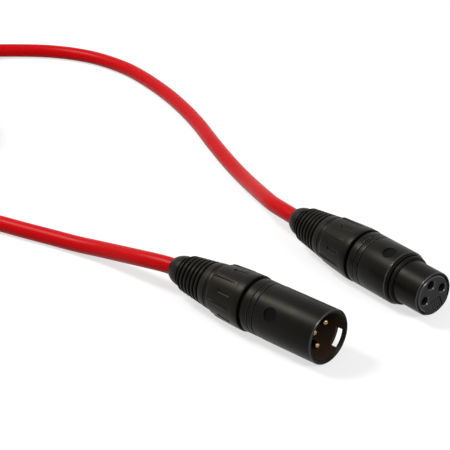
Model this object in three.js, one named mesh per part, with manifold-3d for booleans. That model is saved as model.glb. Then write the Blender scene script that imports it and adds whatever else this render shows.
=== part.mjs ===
// A microphone cable with a 3-pin male and a 3-socket female round connector on its two ends.
// Both connectors lie on the table; the cable between them is wound into a tied coil.
// Millimetres, +Z up, the table at z = 0, +X out of the front of the male connector.
// Each connector is drawn in its own frame: front rim at x = 0, +X out of its front and
// +Z towards its key, the side with the latch window or the latch.

import * as THREE from 'three';
import { mergeVertices } from 'three/addons/utils/BufferGeometryUtils.js';
import Module from 'manifold-3d';

const wasm = await Module();
wasm.setup();

// ---------------------------------------------------------------- driving dimensions

const gap = 0.3; // clearance between pieces that touch or nest
const facets = 28; // sides of the turned pieces that nest in each other
const edge = 0.4; // chamfer on the shells' outer edges
const softEdge = 0.25; // smaller chamfer, on the mouth, the inserts and the boots
const excess = 1; // how far a cutting shape runs past the piece it cuts

// cable
const cableDiameter = 6;
const leadDiameter = 1.4;
const leadSpread = 1.2; // the leads' distance from the axis where they leave the jacket

// contacts, both connectors
const pinDiameter = 2.38;
const cupDiameter = 2.9; // solder cup
const cupBore = 2;
const cupLength = 4;
const cupDepth = 2.6;
const leadInCup = 1.8;

// shells and inserts; every other diameter follows the male shell's
const shellDiameter = 19.1;
const shellWall = 1.05; // behind each shell's step
const rearBore = shellDiameter - 2 * shellWall;
const boreClear = rearBore / 2 - gap; // outside radius of what slides in the rear bore
const chuckFront = 10.4; // the chuck reaches this far ahead of each shell's rear edge
const grooveWidth = 0.5; // ring grooves round the shells' rear
const grooveDepth = 0.35;
const grooveDraft = 0.1; // slope of each groove's walls
const insertFlange = 0.577; // the male insert's wide part, as a share of the room for it
const insertStep = 1.5; // wall of the rear bore to the insert's slimmer rear

// male connector
const maleShellLength = 30.4;
const mouthWall = 1.45;
const mouthDiameter = shellDiameter - 2 * mouthWall;
const mouthDepth = 12.5; // rim to the insert's face
const insertFaceThickness = 1.7; // face to the step that holds the insert
const pinStandOff = 2.5; // the pins' tips lie this far inside the rim
const windowFront = 1.2; // rim to the latch window
const windowLength = 2.75;
const windowWidth = 6.3;
const maleGrooves = [3, 5.2]; // ring grooves, measured from the shell's rear edge
const maleRelief = 7.9; // the slightly slimmer rear zone, from the rear edge
const reliefDepth = 0.08;

// female connector
const femaleShellLength = 33.2;
const femaleMargin = 0.3; // the female shell is wider than the male one by this
const femaleShellDiameter = shellDiameter + femaleMargin;
const mateClearance = 0.5; // play of the nose in a male mouth
const noseDiameter = mouthDiameter - mateClearance;
const noseWall = 0.75;
const noseBore = noseDiameter / 2 - noseWall;
const noseLength = 11.3;
const flangeHeight = 1.05; // thin ring at the nose's root
const flangeLength = 0.9;
const neckHeight = 0.45; // groove behind the ring
const neckLength = 1;
const shoulderDrop = 0.7; // slope from the shell down to the groove
const shoulderLength = 1.1;
const shoulderWall = 0.7; // metal between the neck groove and the rear bore's step
const noseSlotWidth = 10.8; // opening of the nose on the key side
const landDrop = 0.35; // the insert's land fills the nose slot, this far below the nose
const landRadius = noseDiameter / 2 - landDrop;
const contactInset = 3.8; // the nose's outside to the contacts' centres
const contactRadius = noseDiameter / 2 - contactInset;
const insertProud = 0.3; // the insert's face stands out of the nose by this
const femaleGrooves = [2.9, 5.3];
const socketInside = 2.5;
const socketOutside = 3.3;
const socketMouth = 3; // hole in the insert's face
const socketDepth = 0.9; // thickness of the face web in front of a socket
const socketBore = 13; // depth of a socket's bore

// latch, in the female connector
const latchWidth = 4.2;
const latchSideGap = 0.4;
const neckClearance = 0.7; // the tongue's top to the bore that it passes through
const latchNeckTop = noseBore - neckClearance;
const tongueThickness = 1.4;
const latchUnder = latchNeckTop - tongueThickness;
const channelRoom = 2.7; // the tongue's underside to the channel's floor
const latchFloor = latchUnder - channelRoom;
const fulcrumLength = 4.9;
const fulcrumLift = 0.7;
const fulcrumBottom = latchFloor + fulcrumLift;
const hookFront = 6.4; // start of the hook's ramp, from the front
const hookTop = 8;
const hookRear = 10;
const hookHeight = 0.75; // above the nose
const hookRadius = noseDiameter / 2 + hookHeight;
const tabWidth = 6.4;
const tabFront = 15.4;
const tabSink = 0.2; // below the shell
const tabRadius = femaleShellDiameter / 2 - tabSink;
const tabRidges = 3;
const tabGrooveDepth = 0.35;
const tabGrooveWidth = 0.5;
const tabRearGap = 0.7; // room behind the tab, in the shell's slot
const stopLength = 1.2; // lip behind the tab that stays under the shell
const latchRearGap = 1; // from the lip to the chuck
const tabLength = femaleShellLength - chuckFront - latchRearGap - stopLength - tabFront;
const stopDrop = 1.2; // the lip's top below the shell's rear bore
const stopTop = rearBore / 2 - stopDrop;
const trunnionDiameter = 1.4;
const trunnionReach = 0.8;
const trunnionBack = 1.8; // pivot, behind the front face
const trunnionLift = 1.3; // pivot, above the fulcrum's underside
const trunnionHeight = fulcrumBottom + trunnionLift;
const springThickness = 0.35;
const springWidth = 3;
const springFoot = 0.9; // flat length at each end of the leaf
const springRise = 2.4; // length of its slope

// chuck, bushing and boot, both connectors; measured from the shell's rear edge
const chuckRing = 3.4;
const chuckWall = 2; // round the leads
const chuckJaws = 8.1; // behind the edge
const chuckConeStart = 1.9;
const chuckConeSlope = 0.26;
const jawSlot = 1;
const jawSlotStart = 1.4; // ahead of the edge
const jacketAhead = 0.9; // the jacket ends this far ahead of the edge
const throatLength = 1.5; // the chuck's bore narrows to the jacket over this length
const bushingGap = 1.4; // open gap between shell and bushing
const spigotWall = 1;
const spigotBore = boreClear - spigotWall;
const ringHeight = 0.35; // of the bushing's widest ring above the male shell
const ringRadius = shellDiameter / 2 + ringHeight;
const ringLength = 3;
const gripLength = 13.35;
const gripFall = 1.55; // loss of radius from the ring to the grip's end
const gripRear = ringRadius - gripFall;
const ridgeFall = 0.65; // the same along a ridge
const ridgeShort = 1.3; // the ridges stop this far before the grip's end
const gripRidges = 6;
const gripSides = 42;
const gripDrop = 0.05; // the grip starts this far below the ring
const gripCurve = 1.15; // exponent of the taper between the ridges
const webLength = 0.9; // web between the bushing's cone and its rear bore
const bushingWall = 2.05; // round the boot's sleeve
const bootBore = gripRear - bushingWall;
const bootSeam = 0.3; // gap between bushing and boot
const bandLength = 3;
const bootSides = 20;
const ribCount = 6;
const ribPitch = 1.93;
const ribGroove = 0.85;
const ribDepth = 1.1;
const ribDraft = 0.15; // slope of each groove's walls
const bootTaper = 0.128; // loss of radius for each millimetre
const dipLength = 1.8;
const dipDiameter = 10.3;
const collarDiameter = 11.2;
const collarLength = 5;
const collarLip = 0.7; // wall left at the boot's end
const collarCurve = 2.2; // exponent of the collar's rounding

// placing
const axisHeight = ringRadius; // the connectors rest on their widest rings
const femaleTail = [4.9, 57.7]; // the female boot's end, from the male boot's end
const femaleTurn = -9.4; // degrees
const maleKeyAngle = -29; // degrees, from the horizontal, seen from behind the connector
const femaleKeyAngle = -70;
const maleGripAngle = 7;
const femaleGripAngle = 19;

// coil
const coilCentre = [-188, 4.5];
const coilMeanRadius = 33.5;
const coilLoops = 11; // whole turns
const coilEntry = 284.9; // degrees, where the male run joins
const coilExit = 198.6; // degrees, where the female run leaves
const coilLayers = 4;
const turnPitch = 6.5; // between the centre lines of turns side by side
const layerPitch = 6.5; // between layers
const layerChange = 0.5; // share of a turn over which the coil steps up a layer
const coilSides = 6;
const loopSteps = 24;
const floorGap = 0.1; // the jacket's height above the table
const tieAngle = 120; // degrees
const tieWidth = 12;
const tieThickness = 0.9;
const tiePlateau = 25; // degrees each side of the tie where the bundle is lifted fully
const tieRamp = 35; // degrees over which it comes down again

// free runs, as they lie: from the boots' ends towards the coil
const runSides = 8;
const runStep = 13;
const exitLead = 7; // straight length inside the boot that steers the run
const rest = cableDiameter / 2 + floorGap;
const maleRoute = [
  [-6.3, -0.9, 9.7], [-15.2, -1.7, 8.6], [-26.3, -1.8, 6.6], [-37.2, -2, 4.7],
  [-48, -3.5, 3.5], [-59.8, -5.9, rest], [-71.2, -8.9, rest], [-82.3, -11.6, rest],
  [-97, -15.3, rest], [-113, -19, rest], [-129, -22.8, rest], [-145.2, -27.2, rest],
  [-158.6, -31.2, rest],
];
const femaleRoute = [
  [-2.2, 59.4, 9.7], [-11.2, 62.4, 8.9], [-21.2, 67.7, 7.4], [-30.5, 73.1, 5.7],
  [-39.9, 78.4, 4.3], [-51.1, 84.3, 3.4], [-63.9, 90.9, rest], [-79.1, 99, rest],
  [-94.7, 107.6, rest], [-111.9, 115.8, rest], [-131.1, 123.3, rest], [-153, 129.6, rest],
  [-170, 132, rest], [-189, 130.4, rest], [-207, 122.8, rest], [-222.5, 109.3, 3.3],
  [-233.5, 92, 4.6], [-240.3, 73, 8.2], [-242.2, 53, 13.4], [-240.4, 33, 18.4],
  [-236.5, 16, 21.5],
];

// ---------------------------------------------------------------- finishes

function finish(color, roughness, metalness) {
  return new THREE.MeshStandardMaterial({ color, roughness, metalness });
}
const finishes = {
  shell: () => finish(0x1d1d1e, 0.38, 0.6),
  insert: () => finish(0x262628, 0.55, 0),
  gold: () => finish(0xd8a848, 0.25, 1),
  latch: () => finish(0x2a2a2c, 0.45, 0.4),
  spring: () => finish(0xb9bcc0, 0.3, 1),
  chuck: () => finish(0xe6e4dc, 0.5, 0),
  bushing: () => finish(0x232324, 0.5, 0),
  boot: () => finish(0x1b1b1c, 0.7, 0),
  jacket: () => finish(0xc81420, 0.42, 0),
  leadWhite: () => finish(0xe8e6e0, 0.5, 0),
  leadBlue: () => finish(0x2447a0, 0.5, 0),
  screen: () => finish(0xb87350, 0.4, 0.9),
  tie: () => finish(0x18181a, 0.9, 0),
};

// ---------------------------------------------------------------- modelling helpers

const degrees = Math.PI / 180;

// A solid for joins and cuts, from any closed geometry.
function toSolid(geometry) {
  const bare = geometry.clone();
  bare.deleteAttribute('normal');
  bare.deleteAttribute('uv');
  const merged = mergeVertices(bare, 1e-4);
  const corners = merged.index.array;
  const kept = [];
  for (let i = 0; i < corners.length; i += 3) {
    const [a, b, c] = [corners[i], corners[i + 1], corners[i + 2]];
    if (a !== b && b !== c && c !== a) kept.push(a, b, c);
  }
  return new wasm.Manifold(new wasm.Mesh({
    numProp: 3,
    vertProperties: Float32Array.from(merged.attributes.position.array),
    triVerts: Uint32Array.from(kept),
  }));
}

function toGeometry(solid) {
  const mesh = solid.getMesh();
  const geometry = new THREE.BufferGeometry();
  geometry.setAttribute('position', new THREE.BufferAttribute(Float32Array.from(mesh.vertProperties), 3));
  geometry.setIndex(Array.from(mesh.triVerts));
  return geometry;
}

// A piece turned about the X axis. The profile holds [x, radius] pairs and is closed,
// along the axis where both its ends lie on it.
function turned(profile, sides = facets) {
  const points = profile.map(([x, radius]) => new THREE.Vector2(radius, x));
  const ring = points[0].x > 0 || points.at(-1).x > 0;
  if (ring) points.push(points[0].clone());
  if (THREE.ShapeUtils.area(points) < 0) points.reverse();
  return new THREE.LatheGeometry(points, sides).rotateZ(-Math.PI / 2);
}

function rod(front, back, diameter, sides = 12) {
  return turned([[front, 0], [front, diameter / 2], [back, diameter / 2], [back, 0]], sides);
}

// A side view in x and height above the axis, drawn out evenly to both sides.
function slab(outline, width) {
  const shape = new THREE.Shape(outline.map(([x, height]) => new THREE.Vector2(x, height)));
  const geometry = new THREE.ExtrudeGeometry(shape, { depth: width, bevelEnabled: false });
  return geometry.translate(0, 0, -width / 2).rotateX(Math.PI / 2);
}

function block(front, back, bottom, top, width) {
  return slab([[back, bottom], [front, bottom], [front, top], [back, top]], width);
}

// A curve through given points in equal steps of its parameter, so that a tube's sections
// stand exactly on them.
class Sampled extends THREE.Curve {
  constructor(points) {
    super();
    this.points = points;
  }

  getPoint(t, target = new THREE.Vector3()) {
    const place = t * (this.points.length - 1);
    const i = Math.min(Math.floor(place + 1e-9), this.points.length - 2);
    return target.lerpVectors(this.points[i], this.points[i + 1], place - i);
  }

  getPointAt(t, target) {
    return this.getPoint(t, target);
  }

  getTangentAt(t, target = new THREE.Vector3()) {
    const i = Math.round(t * (this.points.length - 1));
    const before = this.points[Math.max(i - 1, 0)];
    const after = this.points[Math.min(i + 1, this.points.length - 1)];
    return target.subVectors(after, before).normalize();
  }
}

function tube(points, diameter, sides) {
  const section = new THREE.Shape();
  for (let i = 0; i < sides; i += 1) {
    const angle = (i / sides) * 2 * Math.PI;
    const corner = [Math.cos(angle) * diameter / 2, Math.sin(angle) * diameter / 2];
    if (i === 0) section.moveTo(...corner);
    else section.lineTo(...corner);
  }
  return new THREE.ExtrudeGeometry(section, {
    extrudePath: new Sampled(points),
    steps: points.length - 1,
    bevelEnabled: false,
  });
}

function part(name, geometry, material) {
  const mesh = new THREE.Mesh(geometry, material);
  mesh.name = name;
  return mesh;
}

// The three contacts stand a quarter turn either side of the key and opposite it.
const contactPlaces = [90, -90, 180].map((turn) => ({
  side: Math.sin(turn * degrees),
  up: Math.cos(turn * degrees),
}));

function atContact(geometry, { side, up }) {
  return geometry.translate(0, side * contactRadius, up * contactRadius);
}

// ---------------------------------------------------------------- the tail: chuck, bushing, boot

const cableClear = cableDiameter / 2 + gap;

function chuck(rear) {
  const front = rear + chuckFront;
  const ringBack = front - chuckRing;
  const coneStart = rear - chuckConeStart;
  const end = rear - chuckJaws;
  const outside = spigotBore - gap;
  const endRadius = outside - (coneStart - end) * chuckConeSlope;
  const mouth = boreClear - chuckWall;
  const body = toSolid(turned([
    [front, mouth], [front, boreClear], [ringBack, boreClear], [ringBack, outside],
    [coneStart, outside], [end, endRadius], [end, cableClear],
    [rear + jacketAhead, cableClear], [rear + jacketAhead + throatLength, mouth],
  ]));
  const slotFront = rear - jawSlotStart;
  const slotBack = end - excess;
  const upright = toSolid(block(slotFront, slotBack, -rearBore, rearBore, jawSlot));
  const level = toSolid(block(slotFront, slotBack, -jawSlot / 2, jawSlot / 2, 2 * rearBore));
  return toGeometry(body.subtract(upright).subtract(level));
}

// The grip tapers towards the boot between six straight ridges.
function bushing(rear, gripAngle) {
  const ringFront = rear - bushingGap;
  const ringBack = ringFront - ringLength;
  const end = ringBack - gripLength;
  const ridgeEnd = end + ridgeShort;
  const spigotFront = rear + chuckFront - chuckRing - gap;
  const coneStart = rear - chuckConeStart;
  const coneEnd = rear - chuckJaws - gap;
  const coneEndRadius = spigotBore - (coneStart - coneEnd) * chuckConeSlope;
  const webBack = coneEnd - webLength;
  const gripRadius = ringRadius - gripDrop;
  const along = (x) => (ringBack - x) / gripLength;
  const facetRadius = (x) => gripRadius - (gripRadius - gripRear) * along(x) ** gripCurve;
  const ridgeLoss = (ridgeFall - gripDrop) / (ringBack - ridgeEnd);
  const ridgeRadius = (x) => gripRadius - ridgeLoss * (ringBack - x);
  const stations = 3;
  const grip = [];
  for (let i = 0; i <= stations; i += 1) {
    const x = ringBack + (ridgeEnd - ringBack) * (i / stations);
    grip.push([x, facetRadius(x)]);
  }
  const ridgeFoot = ridgeEnd - softEdge;
  const geometry = turned([
    [spigotFront, boreClear], [ringFront, boreClear], [ringFront, ringRadius - edge],
    [ringFront - edge, ringRadius], [ringBack + softEdge, ringRadius],
    ...grip, [ridgeFoot, facetRadius(ridgeFoot)],
    [end + softEdge, gripRear], [end, gripRear - softEdge], [end, bootBore],
    [webBack, bootBore], [webBack, coneEndRadius], [coneEnd, coneEndRadius],
    [coneStart, spigotBore], [spigotFront, spigotBore],
  ], gripSides);
  const position = geometry.attributes.position;
  const step = 360 / gripRidges;
  const near = 0.01; // two stations of the profile never lie closer than this
  for (let i = 0; i < position.count; i += 1) {
    const [x, y, z] = [position.getX(i), position.getY(i), position.getZ(i)];
    const radius = Math.hypot(y, z);
    const turn = Math.atan2(z, y) / degrees + 360;
    const fromRidge = Math.abs(((turn + step / 2) % step) - step / 2);
    const onGrip = x < ringBack - near && x > ridgeEnd - near && radius > bootBore + near;
    if (onGrip && fromRidge < 180 / gripSides) {
      const grow = ridgeRadius(x) / radius;
      position.setXYZ(i, x, y * grow, z * grow);
    }
  }
  return geometry.rotateX(gripAngle * degrees);
}

const ribbedLength = bandLength + ribPitch * ribCount - (ribPitch - ribGroove) / 2;
const bootLength = ribbedLength + dipLength + collarLength;

function bootFront(rear) {
  return rear - bushingGap - ringLength - gripLength - bootSeam;
}

function boot(rear) {
  const front = bootFront(rear);
  const end = front - bootLength;
  const sleeveFront = rear - chuckJaws - gap - webLength - gap;
  const sleeve = bootBore - gap;
  const taper = (x) => gripRear - (front - x) * bootTaper;
  const outside = [[front, gripRear - softEdge], [front - softEdge, gripRear]];
  for (let i = 0; i < ribCount; i += 1) {
    const grooveFront = front - bandLength - i * ribPitch;
    const grooveBack = grooveFront - ribGroove;
    outside.push([grooveFront, taper(grooveFront)]);
    outside.push([grooveFront - ribDraft, taper(grooveFront) - ribDepth]);
    outside.push([grooveBack + ribDraft, taper(grooveBack) - ribDepth]);
    outside.push([grooveBack, taper(grooveBack)]);
  }
  const dipFront = front - ribbedLength;
  const dipBack = dipFront - dipLength;
  const collar = collarDiameter / 2;
  outside.push([dipFront, taper(dipFront)], [dipFront - softEdge, dipDiameter / 2]);
  outside.push([dipBack + softEdge, dipDiameter / 2], [dipBack, collar]);
  const rounding = 4;
  for (let i = 1; i <= rounding; i += 1) {
    const share = i / rounding;
    const across = collar - (collar - cableClear - collarLip) * share ** collarCurve;
    outside.push([dipBack - collarLength * share, across]);
  }
  return turned([
    [sleeveFront, cableClear], [sleeveFront, sleeve], [front, sleeve], ...outside, [end, cableClear],
  ], bootSides);
}

// A conductor from the jacket's end into its solder cup.
function lead(rear, place) {
  const start = rear + jacketAhead + gap;
  const cupBack = rear + chuckFront - cupLength;
  const stop = cupBack + leadInCup;
  const straight = 1;
  const route = [];
  const steps = 6;
  for (let i = 0; i <= steps; i += 1) {
    const share = i / steps;
    const ease = share * share * (3 - 2 * share);
    const distance = leadSpread + (contactRadius - leadSpread) * ease;
    const x = start + straight + (cupBack - start - straight) * share;
    route.push(new THREE.Vector3(x, place.side * distance, place.up * distance));
  }
  route.unshift(route[0].clone().setX(start));
  route.push(route.at(-1).clone().setX(stop));
  return tube(route, leadDiameter, 6);
}

function addTail(group, prefix, rear, gripTurn) {
  group.add(part(`${prefix}_chuck`, chuck(rear), finishes.chuck()));
  group.add(part(`${prefix}_bushing`, bushing(rear, gripTurn), finishes.bushing()));
  group.add(part(`${prefix}_boot`, boot(rear), finishes.boot()));
  const leadFinishes = [finishes.leadWhite, finishes.leadBlue, finishes.screen];
  contactPlaces.forEach((place, i) => {
    group.add(part(`${prefix}_lead_${i + 1}`, lead(rear, place), leadFinishes[i]()));
  });
}

// ---------------------------------------------------------------- shells

// The profile's points round a shell's rear end: grooves, then the chamfered edge.
function rearOutside(rear, radius, grooves) {
  const points = [];
  [...grooves].sort((a, b) => b - a).forEach((fromRear) => {
    const front = rear + fromRear + grooveWidth / 2;
    const back = rear + fromRear - grooveWidth / 2;
    points.push([front, radius], [front - grooveDraft, radius - grooveDepth]);
    points.push([back + grooveDraft, radius - grooveDepth], [back, radius]);
  });
  points.push([rear + edge, radius], [rear, radius - edge]);
  return points;
}

function maleShell() {
  const rear = -maleShellLength;
  const radius = shellDiameter / 2;
  const mouth = mouthDiameter / 2;
  const stepBack = -mouthDepth - insertFaceThickness;
  const body = toSolid(turned([
    [0, mouth + softEdge], [0, radius - edge], [-edge, radius],
    [rear + maleRelief, radius], [rear + maleRelief - reliefDepth, radius - reliefDepth],
    ...rearOutside(rear, radius - reliefDepth, maleGrooves),
    [rear, rearBore / 2], [stepBack, rearBore / 2], [stepBack, mouth], [-softEdge, mouth],
  ]));
  const windowBack = -windowFront - windowLength;
  const window = block(-windowFront, windowBack, 0, shellDiameter, windowWidth);
  return toGeometry(body.subtract(toSolid(window)));
}

const shoulderBack = -noseLength - flangeLength - neckLength;
const femaleStep = shoulderBack - shoulderWall; // the rear bore starts here

function femaleShell() {
  const rear = -femaleShellLength;
  const nose = noseDiameter / 2;
  const flange = nose + flangeHeight;
  const neck = nose + neckHeight;
  const radius = femaleShellDiameter / 2;
  const root = -noseLength;
  const body = toSolid(turned([
    [0, noseBore], [0, nose - softEdge], [-softEdge, nose], [root, nose],
    [root, flange - softEdge], [root - softEdge, flange],
    [root - flangeLength, flange], [root - flangeLength, neck],
    [shoulderBack, neck], [shoulderBack, radius - shoulderDrop],
    [shoulderBack - shoulderLength, radius],
    ...rearOutside(rear, radius, femaleGrooves),
    [rear, rearBore / 2], [femaleStep, rearBore / 2], [femaleStep, noseBore],
  ]));
  const noseSlot = toSolid(block(excess, root, 0, nose + excess, noseSlotWidth));
  const tabSlotBack = -tabFront - tabLength - tabRearGap;
  const tabSlot = toSolid(block(-tabFront + gap, tabSlotBack, 0, radius + excess, tabWidth + 2 * gap));
  return toGeometry(body.subtract(noseSlot).subtract(tabSlot));
}

// ---------------------------------------------------------------- male insert and pins

function maleInsert() {
  const face = -mouthDepth;
  const flangeFront = face - insertFaceThickness - gap;
  const back = -maleShellLength + chuckFront + gap;
  const flangeBack = flangeFront + (back - flangeFront) * insertFlange;
  const disc = mouthDiameter / 2 - gap;
  const rearRadius = rearBore / 2 - insertStep;
  let body = toSolid(turned([
    [face, 0], [face, disc - softEdge], [face - softEdge, disc], [flangeFront, disc],
    [flangeFront, boreClear], [flangeBack, boreClear], [flangeBack, rearRadius],
    [back, rearRadius], [back, 0],
  ]));
  contactPlaces.forEach((place) => {
    const hole = rod(face + excess, back - excess, pinDiameter + 2 * gap);
    body = body.subtract(toSolid(atContact(hole, place)));
  });
  return toGeometry(body);
}

// The end of a contact's profile: a cup open to the rear, solid in front.
function solderCup(front) {
  const back = front - cupLength;
  return [
    [front, cupDiameter / 2], [back, cupDiameter / 2], [back, cupBore / 2],
    [back + cupDepth, cupBore / 2], [back + cupDepth, 0],
  ];
}

function malePin(place) {
  const tip = -pinStandOff;
  const radius = pinDiameter / 2;
  const dome = [0, 30, 60, 90].map((turn) => [
    tip - radius * (1 - Math.cos(turn * degrees)), radius * Math.sin(turn * degrees),
  ]);
  const cupFront = -maleShellLength + chuckFront;
  return atContact(turned([...dome, [cupFront, radius], ...solderCup(cupFront)], 12), place);
}

// ---------------------------------------------------------------- female insert, sockets, latch

const channelWidth = latchWidth + 2 * latchSideGap;
const femaleInsertBack = -femaleShellLength + chuckFront + gap;

function femaleInsert() {
  const noseRadius = noseBore - gap;
  const bodyFront = femaleStep - gap;
  const landBack = -noseLength + gap;
  const land = toSolid(turned([
    [insertProud, 0], [insertProud, landRadius - softEdge], [insertProud - softEdge, landRadius],
    [landBack, landRadius], [landBack, 0],
  ])).intersect(toSolid(block(excess, -noseLength, 0, shellDiameter, noseSlotWidth - 2 * gap)));
  let body = toSolid(turned([
    [insertProud, 0], [insertProud, noseRadius - softEdge], [insertProud - softEdge, noseRadius],
    [bodyFront, noseRadius], [bodyFront, boreClear],
    [femaleInsertBack, boreClear], [femaleInsertBack, 0],
  ])).add(land);
  const cutBack = femaleInsertBack - excess;
  contactPlaces.forEach((place) => {
    const mouth = rod(excess, -socketDepth - excess, socketMouth);
    const bore = rod(-socketDepth, cutBack, socketOutside + 2 * gap);
    body = body.subtract(toSolid(atContact(mouth, place)));
    body = body.subtract(toSolid(atContact(bore, place)));
  });
  const channel = toSolid(block(excess, cutBack, latchFloor, shellDiameter, channelWidth));
  const bayWidth = tabWidth + 2 * latchSideGap;
  const tabBay = toSolid(block(-tabFront + gap, cutBack, latchFloor, shellDiameter, bayWidth));
  const pocket = toSolid(trunnion(gap));
  return toGeometry(body.subtract(channel).subtract(tabBay).subtract(pocket));
}

function socket(place) {
  const front = -socketDepth - gap;
  const cupFront = -femaleShellLength + chuckFront;
  const profile = [
    [front - socketBore, 0], [front - socketBore, socketInside / 2], [front, socketInside / 2],
    [front, socketOutside / 2], [cupFront, socketOutside / 2], ...solderCup(cupFront),
  ];
  return atContact(turned(profile, 12), place);
}

function trunnion(clearance) {
  const reach = channelWidth / 2 + trunnionReach - gap + clearance;
  const radius = trunnionDiameter / 2 + clearance;
  const pin = new THREE.CylinderGeometry(radius, radius, 2 * reach, 12);
  return pin.translate(-trunnionBack, 0, trunnionHeight);
}

function latch() {
  const front = insertProud - edge;
  const tabBack = -tabFront - tabLength;
  const rear = tabBack - stopLength;
  const above = tabRadius + excess;
  const tongue = toSolid(slab([
    [front, fulcrumBottom], [front, above], [-hookRear, above], [-hookRear, latchNeckTop],
    [rear, latchNeckTop], [rear, latchUnder], [-fulcrumLength - edge, latchUnder],
    [-fulcrumLength, fulcrumBottom],
  ], latchWidth));
  const tab = toSolid(slab([
    [-tabFront, latchUnder], [-tabFront, above], [tabBack, above],
    [tabBack, stopTop], [rear, stopTop], [rear, latchUnder],
  ], tabWidth));
  const envelope = toSolid(turned([
    [excess, 0], [excess, landRadius], [-hookFront, landRadius], [-hookTop, hookRadius],
    [-hookRear - excess, hookRadius], [-hookRear - excess, tabRadius],
    [rear - excess, tabRadius], [rear - excess, 0],
  ]));
  let body = tongue.add(tab).intersect(envelope);
  for (let i = 0; i < tabRidges; i += 1) {
    const x = -tabFront - tabLength * (i + 0.75) / (tabRidges + 0.5);
    const groove = block(x, x - tabGrooveWidth, tabRadius - tabGrooveDepth, above, tabWidth + excess);
    body = body.subtract(toSolid(groove));
  }
  return toGeometry(body.add(toSolid(trunnion(0))));
}

// A bent leaf: its foot lies on the channel's floor and its free end under the tab.
function latchSpring() {
  const foot = latchFloor + gap;
  const head = latchUnder - gap - springThickness;
  const back = -tabFront - tabLength + edge;
  const line = [
    [back, foot], [back + springFoot, foot], [back + springFoot + springRise, head],
    [back + 2 * springFoot + springRise, head],
  ];
  const upper = line.map(([x, height]) => [x, height + springThickness]).reverse();
  return slab([...line, ...upper], springWidth);
}

// ---------------------------------------------------------------- the cable

const vector = (point) => new THREE.Vector3(...point);

function coilPath() {
  const sweep = coilLoops + (coilEntry - coilExit) / 360;
  const perLayer = sweep / coilLayers;
  const reach = turnPitch * perLayer; // from the inmost to the outmost centre line
  const lift = tieThickness + gap + floorGap;
  const at = (turns) => {
    const layer = turns / perLayer;
    const inward = 1 - Math.abs((layer % 2) - 1);
    const radius = coilMeanRadius + reach * (0.5 - inward);
    let climb = 0;
    for (let k = 1; k < coilLayers; k += 1) {
      const change = layerChange / 2;
      climb += THREE.MathUtils.smoothstep(turns - k * perLayer, -change, change);
    }
    const angle = coilEntry - turns * 360;
    const fromTie = Math.abs(((angle - tieAngle) % 360 + 540) % 360 - 180);
    const raised = 1 - THREE.MathUtils.smoothstep(fromTie, tiePlateau, tiePlateau + tieRamp);
    const height = rest + climb * layerPitch + lift * raised;
    return new THREE.Vector3(
      coilCentre[0] + radius * Math.cos(angle * degrees),
      coilCentre[1] + radius * Math.sin(angle * degrees),
      height,
    );
  };
  const steps = Math.round(sweep * loopSteps);
  const points = [];
  for (let i = 0; i <= steps; i += 1) points.push(at(sweep * (i / steps)));
  const close = 0.001; // turns, near enough to an end to give its direction
  const start = points[0].clone().sub(at(close)).setZ(0).setLength(cableDiameter);
  const stop = points.at(-1).clone().sub(at(sweep - close)).setZ(0).setLength(cableDiameter);
  return [start.add(points[0]), ...points, stop.add(points.at(-1))];
}

// Least distance between two turns' centre lines, less the diameter.
function leastGap(points) {
  const dense = [];
  points.slice(1).forEach((point, i) => {
    for (let k = 0; k < 3; k += 1) dense.push(points[i].clone().lerp(point, k / 3));
  });
  const half = Math.round(loopSteps * 3 / 2);
  let least = Infinity;
  for (let i = 0; i < dense.length; i += 1) {
    for (let j = i + half; j < dense.length; j += 1) {
      least = Math.min(least, dense[i].distanceTo(dense[j]));
    }
  }
  return least - cableDiameter;
}

// A free run: straight through the connector's tail, then the route, then on to the coil.
function runPath(inside, exit, route, coilEnd, coilNext) {
  const inward = inside.clone().sub(exit).setLength(exitLead);
  const outward = coilEnd.clone().sub(coilNext).normalize();
  const end = coilEnd.clone().addScaledVector(outward, gap);
  const before = coilEnd.clone().addScaledVector(outward, gap + cableDiameter);
  const controls = [exit.clone().add(inward), exit, ...route.map(vector), before, end];
  const curve = new THREE.CatmullRomCurve3(controls, false, 'catmullrom', 0.5);
  curve.arcLengthDivisions = 2000;
  const whole = curve.getLength();
  const start = exitLead / whole;
  const stop = 1 - cableDiameter / whole; // the last stretch is straight
  const steps = Math.round((whole - exitLead) / runStep);
  const points = [inside];
  for (let i = 0; i <= steps; i += 1) {
    points.push(curve.getPointAt(start + (stop - start) * (i / steps)));
  }
  points.push(end);
  return { points, length: whole - exitLead };
}

function pathLength(points) {
  return points.slice(1).reduce((sum, point, i) => sum + point.distanceTo(points[i]), 0);
}

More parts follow.
